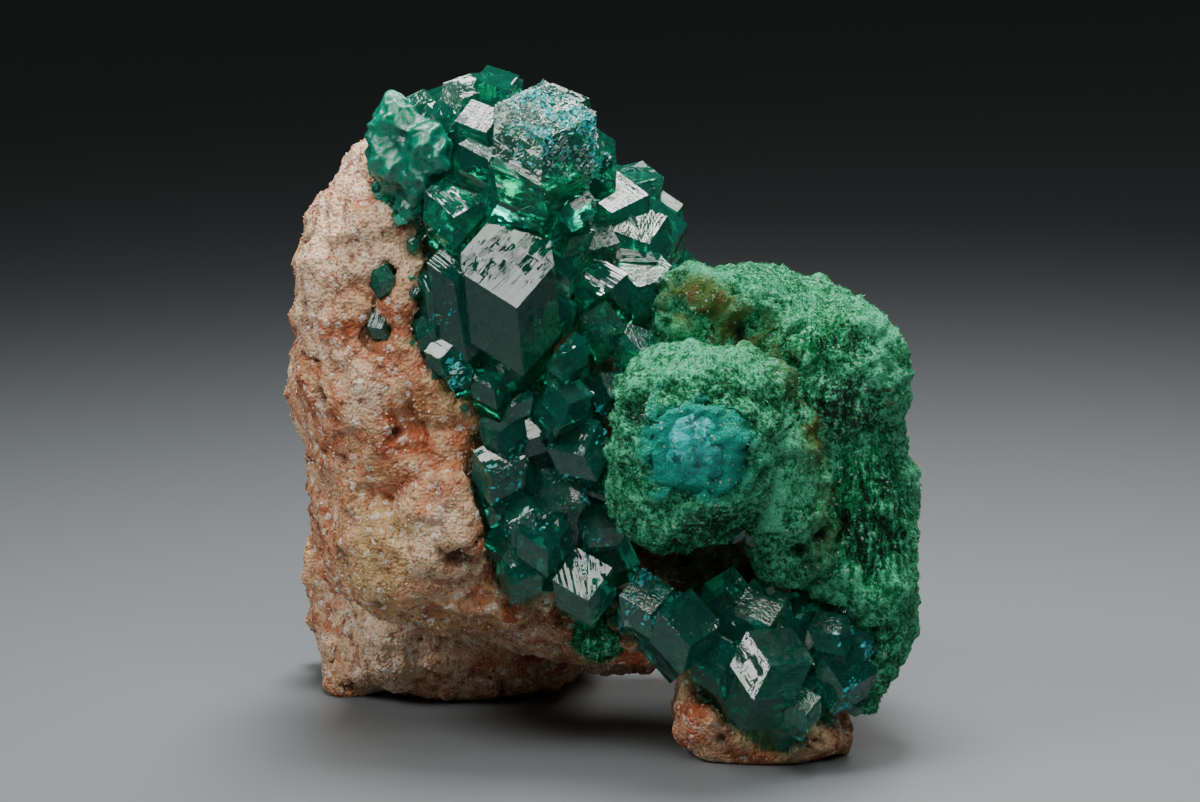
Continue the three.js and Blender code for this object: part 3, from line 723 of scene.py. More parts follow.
@dataclass(frozen=True)
class CrystalFinish:
    """Clear green crystal: plain transmission, with growth plates and frosting by the face."""

    clear: tuple = rgb(50, 212, 184)
    stain: tuple = rgb(6, 120, 104)
    frost: tuple = rgb(190, 240, 226)
    scale: tuple = rgb(40, 226, 220)
    absorb: tuple = (0.01, 0.78, 0.66, 1.0)
    density: float = 380.0
    transmission: float = 0.91
    roughness: float = 0.035
    frosting: float = 0.2
    lean: float = 0.05

    def make(self, mosaic: bpy.types.NodeTree) -> Material:
        """Builds the material.

        Plates lean by a little everywhere, by more in patches, and by most where the face is scaly.

        Args:
            mosaic: The shared group of growth plates.

        Returns:
            The material.
        """
        n = Nodes("dioptase")
        flat = n.vector("facet")
        scaly, frost = n.attribute("scaly"), n.attribute("frost")
        patches = n.ramp(n.noise(520, 2, 0.6), 0.44, 0.6)
        etched = n.ramp(n.noise(3600, 2, 0.75), 0.45, 0.62)
        veil = n.larger(n.times(frost, n.larger(patches, etched)), n.times(scaly, n.plus(etched, 0.2)))
        uneven = n.plus(n.larger(n.times(patches, 0.42), n.times(scaly, 0.5)), self.lean)
        plates = n.group(mosaic, Place=n.stretched(flat, (0.55, 1.3, 1.0)), Plates=1300.0, Lean=uneven)
        steeper = n.plus(n.times(uneven, 0.8), n.times(scaly, 0.5))
        scales = n.group(mosaic, Place=n.stretched(flat, (0.7, 1.2, 1.0)), Plates=4200.0, Lean=steeper)
        bright = n.times(n.ramp(scales.outputs["Tone"], 0.5, 0.7), n.ramp(n.noise(900, 1), 0.42, 0.56))
        # The pale frost colour is partly frosting and partly a painted sheen on faces that look up.
        colour = n.coats(self.clear, (n.times(n.attribute("tone"), 0.5), self.stain),
                         (n.times(veil, 0.8), self.frost), (n.times(bright, scaly), self.scale))
        rough = n.plus(self.roughness, n.times(veil, self.frosting))
        leaning = n.mix(0.42, plates.outputs["Normal"], scales.outputs["Normal"], "VECTOR")
        lines = n.noise(2600, 2, 0.6, n.stretched(flat, (0.12, 1.5, 1.0)))
        pits = n.times(n.noise(8000, 1, 0.7), n.larger(frost, scaly))
        height = n.plus(n.plus(plates.outputs["Tone"], lines), n.times(pits, 1.6))
        normal = n.bump(height, 0.022 * MM, 0.8, leaning)
        n.surface(Base_Color=colour, Roughness=rough, Normal=normal, IOR=1.66,
                  Transmission_Weight=self.transmission)
        n.absorption(self.absorb, self.density)
        return n.material


@dataclass(frozen=True)
class CrustFinish:
    """Milky teal crust: half clear, with pale crests and dark ragged hollows."""

    deep: tuple = rgb(0, 84, 78)
    teal: tuple = rgb(0, 168, 134)
    pale: tuple = rgb(70, 232, 196)
    absorb: tuple = (0.01, 0.86, 0.76, 1.0)
    density: float = 500.0

    def make(self, mosaic: bpy.types.NodeTree) -> Material:
        """Builds the material.

        Args:
            mosaic: The shared group of growth plates, here as small facets that lean every way.

        Returns:
            The material.
        """
        n = Nodes("teal_crust")
        facets = n.group(mosaic, Place=n.place(), Plates=2600.0, Lean=0.5)
        tone = n.plus(n.attribute("tone"), n.times(n.noise(1500, 4, 0.7), 0.5))
        colour = n.coats(self.deep, (n.ramp(tone, 0.2, 0.6), self.teal), (n.ramp(tone, 0.7, 1.15), self.pale))
        height = n.plus(n.noise(2200, 4, 0.7), n.noise(7000, 3, 0.7))
        n.surface(Base_Color=colour, Roughness=n.ramp(n.noise(1200, 3), -0.1, 1.9), IOR=1.66,
                  Normal=n.bump(height, 0.03 * MM, 0.8, facets.outputs["Normal"]), Transmission_Weight=0.5)
        n.absorption(self.absorb, self.density)
        return n.material


@dataclass(frozen=True)
class FlakeFinish:
    """Thin loose plates on the crystals, from dark teal through cyan to silver, by their own tone."""

    teal: tuple = rgb(0, 84, 72)
    cyan: tuple = rgb(0, 178, 182)
    silver: tuple = rgb(86, 122, 114)

    def make(self) -> Material:
        """Builds the material and returns it."""
        n = Nodes("crystal_flakes")
        tone = n.attribute("tone")
        colour = n.coats(self.teal, (n.ramp(tone, 0.0, 0.4), self.cyan),
                         (n.ramp(tone, 0.42, 0.62), self.silver))
        rough = n.plus(0.14, n.times(n.noise(2400, 3, 0.6), 0.4))
        n.surface(Base_Color=colour, Roughness=rough, IOR=1.75)
        return n.material


@dataclass(frozen=True)
class MalachiteFinish:
    """Velvety malachite from mint to near black green, with olive, brown and blue, by its attributes."""

    mint: tuple = rgb(116, 252, 192)
    green: tuple = rgb(0, 152, 86)
    deep: tuple = rgb(0, 34, 24)
    olive: tuple = rgb(98, 122, 40)
    brown: tuple = rgb(128, 80, 34)
    grey: tuple = rgb(40, 52, 52)
    blue: tuple = rgb(0, 196, 172)
    white: tuple = rgb(226, 255, 238)

    def make(self, grains: bpy.types.NodeTree) -> Material:
        """Builds the material.

        Args:
            grains: The shared grain group.

        Returns:
            The material.
        """
        n = Nodes("malachite")
        # A few of these fine grains get painted white glints.
        fine = n.group(grains, Grains=9000.0, Glint=0.98)
        fibres = n.noise(3000, 4, 0.75, n.stretched(n.place(), (1.2, 1.2, 0.22)))
        speckle = n.mix(n.attribute("fibre"), n.noise(3800, 4, 0.8), fibres, "FLOAT")
        speckle = n.less(n.times(n.ramp(speckle, 0.32, 0.68), 1.2), 0.16)
        tone = n.plus(n.times(n.attribute("mint"), 0.85), speckle)
        tone = n.less(tone, n.times(fine.outputs["Tone"], 0.3))
        dusty = n.times(n.attribute("grey"), n.ramp(speckle, 0.9, 0.3))
        mossy = n.times(n.attribute("olive"), n.ramp(tone, 0.0, 0.5))
        # The mint tone carries painted highlights on the crests and rims.
        colour = n.coats(self.deep, (n.ramp(tone, 0.0, 0.42), self.green),
                         (n.ramp(tone, 0.42, 1.05), self.mint), (dusty, self.grey), (mossy, self.olive),
                         (n.attribute("brown"), self.brown), (n.attribute("blue"), self.blue),
                         # Painted shade: the deep green again over the seams and hollows.
                         (n.attribute("painted_shade"), self.deep), (n.times(fine.outputs["Glint"], 0.7), self.white))
        rough = n.less(0.78, n.times(fine.outputs["Glint"], 0.5))
        height = n.plus(fine.outputs["Height"], n.times(speckle, 2.0))
        n.surface(Base_Color=colour, Roughness=rough, Normal=n.bump(height, 0.11 * MM, 1.0), IOR=1.4)
        return n.material


@dataclass(frozen=True)
class NeedleFinish:
    """Tiny malachite needles, by each needle's own tone."""

    low: tuple = rgb(0, 72, 42)
    middle: tuple = rgb(0, 160, 88)
    high: tuple = rgb(120, 248, 184)

    def make(self) -> Material:
        """Builds the material and returns it."""
        n = Nodes("malachite_needles")
        tone = n.attribute("tone")
        colour = n.coats(self.low, (n.ramp(tone, 0.0, 0.55), self.middle),
                         (n.ramp(tone, 0.5, 1.0), self.high))
        n.surface(Base_Color=colour, Roughness=0.4, IOR=1.5)
        return n.material


@dataclass(frozen=True)
class ChrysocollaFinish:
    """Turquoise from teal at its foot to cyan at its head, with pale streaks and a waxy gloss."""

    deep: tuple = rgb(0, 104, 92)
    teal: tuple = rgb(8, 158, 144)
    bright: tuple = rgb(14, 206, 200)
    pale: tuple = rgb(150, 246, 240)

    def make(self) -> Material:
        """Builds the material and returns it."""
        n = Nodes("chrysocolla")
        streak = n.noise(1700, 5, 0.72)
        head = n.attribute("head")
        veins = n.times(n.ramp(n.noise(2800, 5, 0.75), 0.52, 0.64), head)
        colour = n.coats(self.teal, (head, self.bright), (n.ramp(streak, 0.56, 0.36), self.deep),
                         (veins, self.pale))
        height = n.plus(streak, n.noise(6000, 3, 0.7))
        n.surface(Base_Color=colour, Roughness=n.ramp(streak, 0.1, 1.2), Normal=n.bump(height, 0.1 * MM, 1.0),
                  IOR=1.5)
        return n.material


# Sub-assemblies


def on_patch(points: Array) -> Array:
    """Places in half widths of the blue patch from its middle, so that its box runs from -1 to 1."""
    low, high = (np.array(corner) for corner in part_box("chrysocolla_patch"))
    return (points - (low + high) / 2) / ((high - low) / 2)


@dataclass
class RoughMass:
    """A rough natural mass: a CAD node's shape, made fine, swollen and weathered.

    `filled` is how far its gaps close, and `under` names the nodes that it goes on beneath.
    """

    node: str
    piece: str
    slot: Slot
    voxel: float = 0.17 * MM
    rounds: int = 14
    swell: float = 0.2 * MM
    filled: float = 0.0
    under: tuple[str, ...] = ()

    def relief(self, points: Array) -> tuple[Array, dict[str, Array]]:
        """How far each point stands out, and the numbers that its colours read."""
        raise NotImplementedError

    def build(self, material: Material) -> Object:
        """Builds the piece in place of its node.

        The mass goes on under the nodes that sit in it. Its surface moves along its normals by the
        swell plus the relief, and nothing goes below the plane that the specimen stands on.

        Args:
            material: Its finish.

        Returns:
            The finished piece.
        """
        places, faces = merged_mesh(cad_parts[self.node])
        for node in self.under:
            more, others = merged_mesh(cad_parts[node])
            places, faces = np.concatenate([places, more]), np.concatenate([faces, others + len(places)])
        obj = remeshed(self.piece, places, faces, self.voxel, self.rounds, self.filled)
        places, normals = vertex_arrays(obj)
        height, colours = self.relief(places)
        lifted = step_up(places[:, 2], 0.02 * MM, 0.5 * MM)
        places = places + normals * ((self.swell + height) * lifted)[:, None]
        places[:, 2] = np.maximum(places[:, 2], 0)
        set_places(obj, places)
        for name, values in colours.items():
            set_values(obj, name, values)
        obj.data.materials.clear()
        obj.data.materials.append(material)
        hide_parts(self.node)
        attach(obj, BODY)
        LOG.info("%s: %d faces", self.piece, len(obj.data.polygons))
        return obj


# Places on the stone, each as a middle and a reach in millimetres.
LEDGES = ((-3.0, -8.5, 6.5), (9.0, 5.0, 5.0))
# Painted shade under the block's lowest ledges.
SHADED_UNDERSIDE = ((-5.0, -7.5, 6.4), (9, 6, 3.5))
YELLOW_CORNER = ((-9.6, -9.2, 10.0), (3.6, 3.2, 2.8))
# Pale cream stone, and at (-11.4, -6.5, 24.5) a painted highlight on the upper left.
PALE_SPOTS_AND_HIGHLIGHT = (
    ((-11.4, -6.5, 24.5), (3.6, 4.5, 6.5)), ((-9.5, 3.5, 4.0), (5.5, 6.0, 6.0)),
    ((7.2, -10.2, 2.4), (1.3, 2.4, 1.8)), ((-7.4, -10.2, 18.4), (1.8, 3.0, 2.2)),
)
RUSTY_SPOTS = (
    ((-8.6, -9.0, 19.6), (2.4, 3.5, 3.6)), ((4.2, -9.4, 2.2), (1.4, 3.0, 3.0)),
    ((-8.4, -8.5, 15.4), (2.6, 3.5, 3.0)), ((2.6, -8.0, 5.0), (2.2, 3.0, 1.8)),
)


@dataclass
class StoneMass(RoughMass):
    """The matrix: granular, layered underneath, with pits and a paler boulder near the band."""

    node: str = "matrix_stone"
    piece: str = "granular_stone"
    slot: Slot = Slot.STONE
    voxel: float = 0.195 * MM
    seam: SeamField | None = None

    def relief(self, points: Array) -> tuple[Array, dict[str, Array]]:
        """Swells, knobs and grains stand out; pits sink where noise peaks, and cracks where it is 0.

        Args:
            points: Corners of the fine mesh.

        Returns:
            Heights, and the attributes pale (partly a painted highlight), rust, sand, crust and the painted
            shade in pits, cracks and under the ledges.
        """
        swells = 0.46 * layered_noise(points, 2.4 * MM, 1, 3, 0.6)
        knobs = 0.13 * (1 - 2 * np.abs(smooth_noise(points, 0.95 * MM, 21)))
        grain = grain_noise(points, 0.44 * MM, 31)
        grain_height = 0.12 * np.clip(grain, -0.2, 1)
        hollow = step_up(layered_noise(points, 1.4 * MM, 51, 3), 0.62, 1.0)
        crack = step_up(0.09 - np.abs(layered_noise(points, 3.0 * MM, 57, 2)), 0, 0.08)
        crack *= step_up(smooth_noise(points, 4.0 * MM, 59), -0.1, 0.4)
        layers = step_up(8.6 - points[:, 2] / MM, 0, 2) * step_up(points[:, 2] / MM, 4, 5)
        layers *= near(points, *LEDGES)
        ledges = 0.3 * layers * np.sin(2 * np.pi * (points[:, 2] + 0.12 * points[:, 0]) / (0.8 * MM))
        height = (swells + knobs + grain_height + ledges - 0.6 * hollow - 0.5 * crack) * MM
        patchy = layered_noise(points, 3.4 * MM, 71, 3)
        speckle = layered_noise(points, 0.8 * MM, 81, 3)
        # Painted shade under the lowest ledges.
        under = step_up(7.6 - points[:, 2] / MM, 0, 2.5) * near(points, *SHADED_UNDERSIDE)
        yellow = near(points, *YELLOW_CORNER)
        rusty = nearest(points, RUSTY_SPOTS)
        # Pale stone, partly a painted highlight on the upper left.
        pale = step_up(patchy + 0.8 * nearest(points, PALE_SPOTS_AND_HIGHLIGHT) - 0.4 * rusty, 0.1, 0.8) * 0.8
        rust = step_up(speckle + 0.55 * rusty - 0.5 * yellow, 0.3, 0.9) * 0.75
        sand = np.clip(yellow * step_up(speckle, -0.7, 0.2) + 0.5 * step_up(-patchy, 0.35, 0.9), 0, 1) * 0.7
        # Painted shade: darker in the hollows, the cracks and between grains.
        deep = hollow * 0.9 + crack * 0.7 + step_up(-grain, 0.0, 0.3) * 0.2
        painted_shade = np.clip(deep + 0.7 * under * step_up(-speckle, -0.4, 0.4), 0, 0.9)
        crust = self.seam.near(points) * step_up(speckle, -0.9, -0.1) * 0.9
        return height, {"pale": pale, "rust": rust, "sand": sand, "painted_shade": painted_shade, "crust": crust}


# Places on the malachite, each as a middle and a reach in millimetres.
KNOB_FRONT = ((4.5, -14.0, 15.4), (5.0, 4.0, 5.0))
PATCH_SURROUND = ((4.5, -13.6, 15.4), (3.0, 2.4, 3.2))
OLIVE_VALLEY = (
    ((4.6, -8.0, 20.9), (2.4, 3.2, 1.3)), ((6.6, -8.2, 19.9), (1.8, 3.2, 1.6)),
    ((8.3, -8.6, 18.0), (1.5, 3.2, 2.2)), ((9.2, -8.8, 15.2), (1.4, 3.2, 2.6)),
    ((9.7, -8.6, 11.4), (1.6, 3.0, 3.2)),
)
# Painted highlights along the upper rims.
RIM_HIGHLIGHTS = (
    ((5.2, -8.0, 22.2), (1.6, 3.0, 1.1)), ((9.6, -8.0, 21.9), (3.0, 3.0, 1.2)),
    ((12.9, -8.0, 20.2), (1.9, 3.0, 1.8)), ((7.9, -9.0, 20.8), (0.9, 3.0, 1.8)),
    ((4.2, -12.0, 19.2), (3.6, 3.2, 1.3)), ((7.9, -11.0, 13.0), (0.5, 3.0, 2.4)),
)
SHADED_SIDES = (
    ((9.9, -9.0, 19.5), (1.7, 3.0, 1.4)), ((12.4, -9.0, 11.4), (2.6, 4.0, 5.0)),
    ((4.4, -12.5, 10.6), (3.4, 3.0, 1.4)),
)
# Painted shade in two hollows, with grey speckles there.
DARK_HOLLOWS = (((11.2, -9.6, 16.4), (2.6, 3.0, 2.2)), ((5.0, -13.4, 12.2), (2.0, 2.0, 1.3)))
BROWN_BITS = (
    ((13.0, -9.0, 17.0), (0.7, 2.0, 0.5)), ((12.3, -9.5, 16.4), (0.4, 2.0, 0.4)),
    ((8.5, -9.5, 16.0), (0.5, 2.0, 0.8)), ((5.3, -9.0, 19.4), (1.4, 2.0, 0.6)),
)


@dataclass
class MalachiteMass(RoughMass):
    """The malachite: velvety knobs, an olive valley, a dark glittering hollow and brown specks."""

    node: str = "malachite_lump"
    piece: str = "velvet_malachite"
    slot: Slot = Slot.MALACHITE
    voxel: float = 0.14 * MM
    rounds: int = 22
    under: tuple[str, ...] = ("chrysocolla_patch",)

    def relief(self, points: Array) -> tuple[Array, dict[str, Array]]:
        """Swells carry mossy domes of two sizes, whose crests are pale with a painted highlight and whose
        seams are dark with painted shade.

        Under the blue patch the surface sinks, and it turns blue where it comes out beside it.

        Args:
            points: Corners of the fine mesh.

        Returns:
            Heights, and the attributes mint, grey, olive, brown, blue, fibre and the painted shade in the
            seams and hollows; the mint carries painted highlights on crests and rims.
        """
        swells = 0.34 * layered_noise(points, 2.0 * MM, 3, 3, 0.6)
        bent = points + 0.25 * MM * noise_vectors(points, 0.8 * MM, 300)
        dome = grain_noise(bent, 0.95 * MM, 33)
        moss = grain_noise(bent, 0.42 * MM, 34)
        crest = 0.6 * np.clip(dome, -0.3, 1) + 0.4 * np.clip(moss, -0.3, 1)
        hollow = step_up(layered_noise(points, 1.3 * MM, 53, 2), 0.5, 0.95)
        broad = layered_noise(points, 2.8 * MM, 63, 2)
        speckle = layered_noise(points, 0.8 * MM, 73, 3)
        specks = layered_noise(points, 0.34 * MM, 77, 2)
        height = (swells + 0.55 * crest - 0.6 * hollow + 0.14 * speckle + 0.12 * specks) * MM
        valley, dark = nearest(points, OLIVE_VALLEY), nearest(points, DARK_HOLLOWS)
        rim_highlight, shaded = nearest(points, RIM_HIGHLIGHTS), nearest(points, SHADED_SIDES)
        grey = dark * step_up(speckle, -0.7, 0.0) * 0.9
        olive = valley * step_up(speckle + 0.4 * broad, -0.7, 0.1) * 0.95
        bits = nearest(points, BROWN_BITS)
        brown = np.clip((0.6 * valley + bits) * step_up(specks, 0.35, 0.7), 0, 0.85)
        around = near(points, *PATCH_SURROUND)
        blue = around * step_up(speckle + 0.6 * specks + 0.5 * around, 0.0, 0.5) * 0.75
        # The mint is partly the malachite's own tone and partly painted light: highlights on the crests and
        # rims, shade on the shaded sides and in the dark hollows.
        mint = 0.12 + 0.8 * np.clip(crest, 0, 1) + 0.25 * broad + 0.15 * speckle
        mint += rim_highlight * (0.3 + 0.25 * speckle) - 0.4 * shaded - 0.3 * dark
        ring = np.linalg.norm(on_patch(points)[:, ::2], axis=1)
        front = step_up(near(points, *KNOB_FRONT), 0.0, 0.3)
        height -= 0.5 * MM * step_up(0.95 - ring, 0.0, 0.4) * front
        halo = step_up(1.15 - ring + 0.3 * speckle + 0.2 * specks, -0.2, 0.15) * front
        blue = np.maximum(blue, 0.95 * halo)
        # Painted shade in the hollows and the seams between domes.
        painted_shade = np.clip(hollow * 0.8 + step_up(-crest, -0.14, 0.1) * 0.6, 0, 0.92)
        return height, {"mint": mint, "grey": grey, "olive": olive, "brown": brown, "blue": blue, "painted_shade": painted_shade,
                        "fibre": shaded}


@dataclass
class PatchMass(RoughMass):
    """The blue patch: a cracked waxy swell on the knob."""

    node: str = "chrysocolla_patch"
    piece: str = "blue_patch"
    slot: Slot = Slot.CHRYSOCOLLA
    voxel: float = 0.09 * MM
    rounds: int = 10

    def relief(self, points: Array) -> tuple[Array, dict[str, Array]]:
        """Low swells with fine cracks, sinking into the knob along a ragged rim.

        Args:
            points: Corners of the fine mesh.

        Returns:
            Heights, and the attribute head.
        """
        placed = on_patch(points)
        ragged = np.linalg.norm(placed[:, ::2], axis=1) + 0.22 * layered_noise(points, 0.8 * MM, 92, 3)
        cracks = np.abs(smooth_noise(points, 0.5 * MM, 91))
        height = 0.12 * layered_noise(points, 0.9 * MM, 90, 3) + 0.12 * cracks - 0.08
        head = step_up(placed[:, 2] + 0.5 * layered_noise(points, 0.7 * MM, 93, 2), -0.5, 0.6)
        return (height - 0.25 * step_up(ragged, 0.9, 1.25)) * MM, {"head": head}


@dataclass
class CrustMass(RoughMass):
    """The milky crust at the top left, lumpy above and ragged below."""

    node: str = "teal_crust"
    piece: str = "milky_crust"
    slot: Slot = Slot.CRUST
    voxel: float = 0.09 * MM
    rounds: int = 40
    swell: float = 0.05 * MM
    filled: float = 0.6 * MM

    def relief(self, points: Array) -> tuple[Array, dict[str, Array]]:
        """Ridges and small domes, paler on the ridges and toward the top.

        Args:
            points: Corners of the fine mesh.

        Returns:
            Heights, and the attribute tone.
        """
        broad = layered_noise(points, 1.3 * MM, 94, 2)
        bent = points + 0.3 * MM * noise_vectors(points, 0.7 * MM, 320)
        ridges = 1 - 2 * np.abs(smooth_noise(bent, 0.6 * MM, 95))
        grain = grain_noise(bent, 0.45 * MM, 96)
        height = 0.3 * broad + 0.14 * ridges + 0.14 * np.clip(grain, -0.2, 1)
        low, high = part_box(self.node)
        up = (points[:, 2] - low[2]) / (high[2] - low[2])
        return height * MM, {"tone": 0.1 + 0.3 * up + 0.25 * broad + 0.15 * ridges}


@dataclass
class TuftMass(RoughMass):
    """The small green tuft under the band."""

    node: str = "malachite_tuft"
    piece: str = "underside_tuft"
    slot: Slot = Slot.MALACHITE
    voxel: float = 0.09 * MM
    rounds: int = 8

    def relief(self, points: Array) -> tuple[Array, dict[str, Array]]:
        """A spiky pile, coloured as the malachite."""
        grain = grain_noise(points, 0.3 * MM, 35)
        mint = 0.1 + 0.3 * layered_noise(points, 0.7 * MM, 36, 2)
        return 0.25 * np.clip(grain, -0.3, 1) * MM, {"mint": mint}


@dataclass
class StoneGrains:
    """Loose mineral grains that stand on the stone and catch the light."""

    count: int = 22000
    size: float = 0.062 * MM
    lowest: float = 0.35 * MM
    seed: int = 5

    def build(self, stone: Object, material: Material) -> Object:
        """Scatters eight-sided grains over the stone.

        Args:
            stone: The finished stone.
            material: The grains' finish.

        Returns:
            The joined grains.
        """
        rng = np.random.default_rng(self.seed)
        spots, normals = samples_on(stone, self.count, rng)
        keep = spots[:, 2] > self.lowest
        spots, normals = spots[keep], normals[keep]
        corners = np.array([[1, 0, 0], [0, 1, 0], [-1, 0, 0], [0, -1, 0], [0, 0, 1], [0, 0, -1]], float)
        after = np.roll(np.arange(4), -1)
        faces = np.concatenate([np.c_[np.arange(4), after, np.full(4, 4)],
                                np.c_[after, np.arange(4), np.full(4, 5)]])
        total = len(spots)
        sizes = self.size * rng.uniform(0.5, 1.5, (total, 1)) * rng.uniform(0.7, 1.3, (total, 3))
        shapes = corners[None] * rng.uniform(0.8, 1.2, (total, len(corners), 1))
        axes = rng.normal(size=(total, 3))
        turns = turned_axes(axes, rng.uniform(0, 2 * np.pi, total))
        spots = spots + normals * sizes[:, :1] * 0.1
        places, polygons = scattered(shapes, faces, spots, turns, sizes)
        obj = make_object("stone_grains", places, polygons, False)
        drift = 0.5 + 0.28 * layered_noise(spots, 1.6 * MM, 41, 2)
        tone = np.clip(drift + 0.24 * rng.normal(size=total), 0, 1)
        set_values(obj, "tone", np.repeat(tone, len(corners)))
        obj.data.materials.append(material)
        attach(obj, BODY)
        LOG.info("stone grains: %d", total)
        return obj


@dataclass
class MalachitePile:
    """The fine needles that make the malachite look like velvet."""

    name: str = "malachite_needles"
    count: int = 24000
    length: float = 0.17 * MM
    width: float = 0.03 * MM
    sunk: float = 0.03 * MM
    seed: int = 6

    def build(self, mass: Object, shape: RoughMass, material: Material) -> Object:
        """Scatters three-sided needles over the malachite, in tufts that lean alike.

        A needle is as pale as the place that it stands on, and few stand where the green gives way.

        Args:
            mass: The finished malachite.
            shape: What the malachite was built by, which knows its colours.
            material: The needles' finish.

        Returns:
            The joined needles.
        """
        rng = np.random.default_rng(self.seed)
        spots, normals = samples_on(mass, self.count, rng)
        _, colours = shape.relief(spots)
        other = sum(colours.get(name, 0) for name in ("olive", "grey", "brown", "blue"))
        keep = other < rng.uniform(0.15, 0.9, len(spots))
        spots, normals, mint = spots[keep], normals[keep], colours["mint"][keep]
        bend = noise_vectors(spots, 0.7 * MM, 200)
        axes = normals + 0.7 * bend + 0.3 * rng.normal(size=spots.shape)
        around = np.arange(3) * 2 * np.pi / 3
        corners = np.zeros((4, 3))
        corners[:3, 0], corners[:3, 1] = np.cos(around), np.sin(around)
        corners[3, 2] = 1
        faces = np.array([[0, 1, 3], [1, 2, 3], [2, 0, 3], [0, 2, 1]])
        total = len(spots)
        length = self.length * rng.uniform(0.4, 1.3, total)
        width = self.width * rng.uniform(0.6, 1.3, total)
        sizes = np.stack([width, width, length], 1)
        turns = turned_axes(axes, rng.uniform(0, 2 * np.pi, total))
        spots = spots - normals * self.sunk
        places, polygons = scattered(corners, faces, spots, turns, sizes)
        obj = make_object(self.name, places, polygons, False)
        # Each needle is as pale as the mint where it stands, which on the malachite carries its painted
        # highlights and shade.
        tone = 0.16 + 0.6 * mint + 0.24 * rng.normal(size=total)
        set_values(obj, "tone", np.repeat(np.clip(tone, 0, 1), len(corners)))
        obj.data.materials.append(material)
        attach(obj, BODY)
        LOG.info("malachite needles: %d", total)
        return obj


@dataclass
class Druse:
    """Small crystals on a host, along its seams with other nodes."""

    name: str
    seam: SeamField
    slot: Slot
    count: int = 420
    smallest: float = 0.12 * MM
    largest: float = 0.42 * MM
    length: float = 2.7
    seed: int = 7
    tries: int = 60
    steep: float = math.tan(math.radians(51))

    def shape(self) -> tuple[Array, Array]:
        """One crystal of radius 1, its peak at the origin: a hexagon of edges, capped by rhombs.

        Corner k of the upper ring stands at 60 degrees times k and hangs below the peak by the
        slope where k is even and by half of it where k is odd. The lower ring mirrors it.

        Returns:
            Its 14 corners and 12 four-sided faces.
        """
        k = np.arange(6)
        angle = k * np.pi / 3
        ring = np.stack([np.cos(angle), np.sin(angle), np.zeros(6)], 1)
        upper, lower = ring.copy(), ring.copy()
        upper[:, 2] = np.where(k % 2 == 0, -self.steep, -self.steep / 2)
        lower[:, 2] = np.where(k % 2 == 0, -self.length + self.steep / 2, -self.length + self.steep)
        peaks = np.array([[0, 0, 0], [0, 0, -self.length]])
        corners = np.concatenate([upper, lower, peaks])
        after, before = (k + 1) % 6, (k + 5) % 6
        sides = np.stack([k + 6, after + 6, after, k], 1)
        even, odd = k[::2], k[1::2]
        top = np.stack([np.full(3, 12), before[::2], even, after[::2]], 1)
        bottom = np.stack([np.full(3, 13), after[1::2] + 6, odd + 6, before[1::2] + 6], 1)
        return corners, np.concatenate([sides, top, bottom])

    def build(self, host: Object, material: Material) -> Object:
        """Sets small crystals on the host wherever it comes close to the seam's nodes.

        Args:
            host: The finished stone, malachite or crust.
            material: The crystals' finish.

        Returns:
            The joined crystals.
        """
        rng = np.random.default_rng(self.seed)
        spots, normals = samples_on(host, self.count * self.tries, rng)
        close = self.seam.near(spots)
        chosen = np.flatnonzero(close > rng.uniform(0.15, 1.0, len(spots)))[: self.count]
        spots, normals = spots[chosen], normals[chosen]
        total = len(chosen)
        size = rng.uniform(self.smallest, self.largest, total) * rng.uniform(0.6, 1.0, total)
        axes = normals + 0.55 * rng.normal(size=spots.shape) + np.array([0, 0, 0.35])
        turns = turned_axes(axes, rng.uniform(0, 2 * np.pi, total))
        peaks = spots + normals * (0.9 * size)[:, None]
        corners, faces = self.shape()
        places, polygons = scattered(corners, faces, peaks, turns, np.repeat(size[:, None], 3, 1))
        places[:, 2] = np.maximum(places[:, 2], 0)
        obj = make_object(self.name, places, polygons, False)
        set_vectors(obj, "facet", places[polygons].reshape(-1, 3))
        set_values(obj, "frost", rng.uniform(0, 0.8, len(polygons)), "FACE")
        set_values(obj, "tone", np.repeat(rng.uniform(0, 1, total), len(faces)), "FACE")
        obj.data.materials.append(material)
        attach(obj, BODY)
        LOG.info("%s: %d crystals", self.name, total)
        return obj


def flat_facets(faces: Array, normals: Array) -> tuple[Array, Array]:
    """Numbers the flat faces of a mesh, so that triangles of one plane share a number.

    Every triangle starts with its own number. Two that share an edge and look the same way take
    the lower of their numbers, again and again until nothing changes.

    Args:
        faces: Triangles, (m, 3).
        normals: Their normals, (m, 3).

    Returns:
        One number for each triangle, and whether each of its edges lies inside a flat face, (m, 3).
    """
    edges = np.sort(faces[:, [0, 1, 1, 2, 2, 0]].reshape(-1, 2), axis=1)
    order = np.lexsort((edges[:, 1], edges[:, 0]))
    same = np.flatnonzero((edges[order][1:] == edges[order][:-1]).all(1))
    first, second = order[same], order[same + 1]
    flat = (normals[first // 3] * normals[second // 3]).sum(1) > ONE_PLANE
    first, second = first[flat], second[flat]
    inner = np.zeros(faces.size, dtype=bool)
    inner[first] = inner[second] = True
    a, b = first // 3, second // 3
    labels = np.arange(len(faces))
    while True:
        lower = labels.copy()
        np.minimum.at(lower, a, labels[b])
        np.minimum.at(lower, b, labels[a])
        if (lower == labels).all():
            return labels, inner.reshape(-1, 3)
        labels = lower


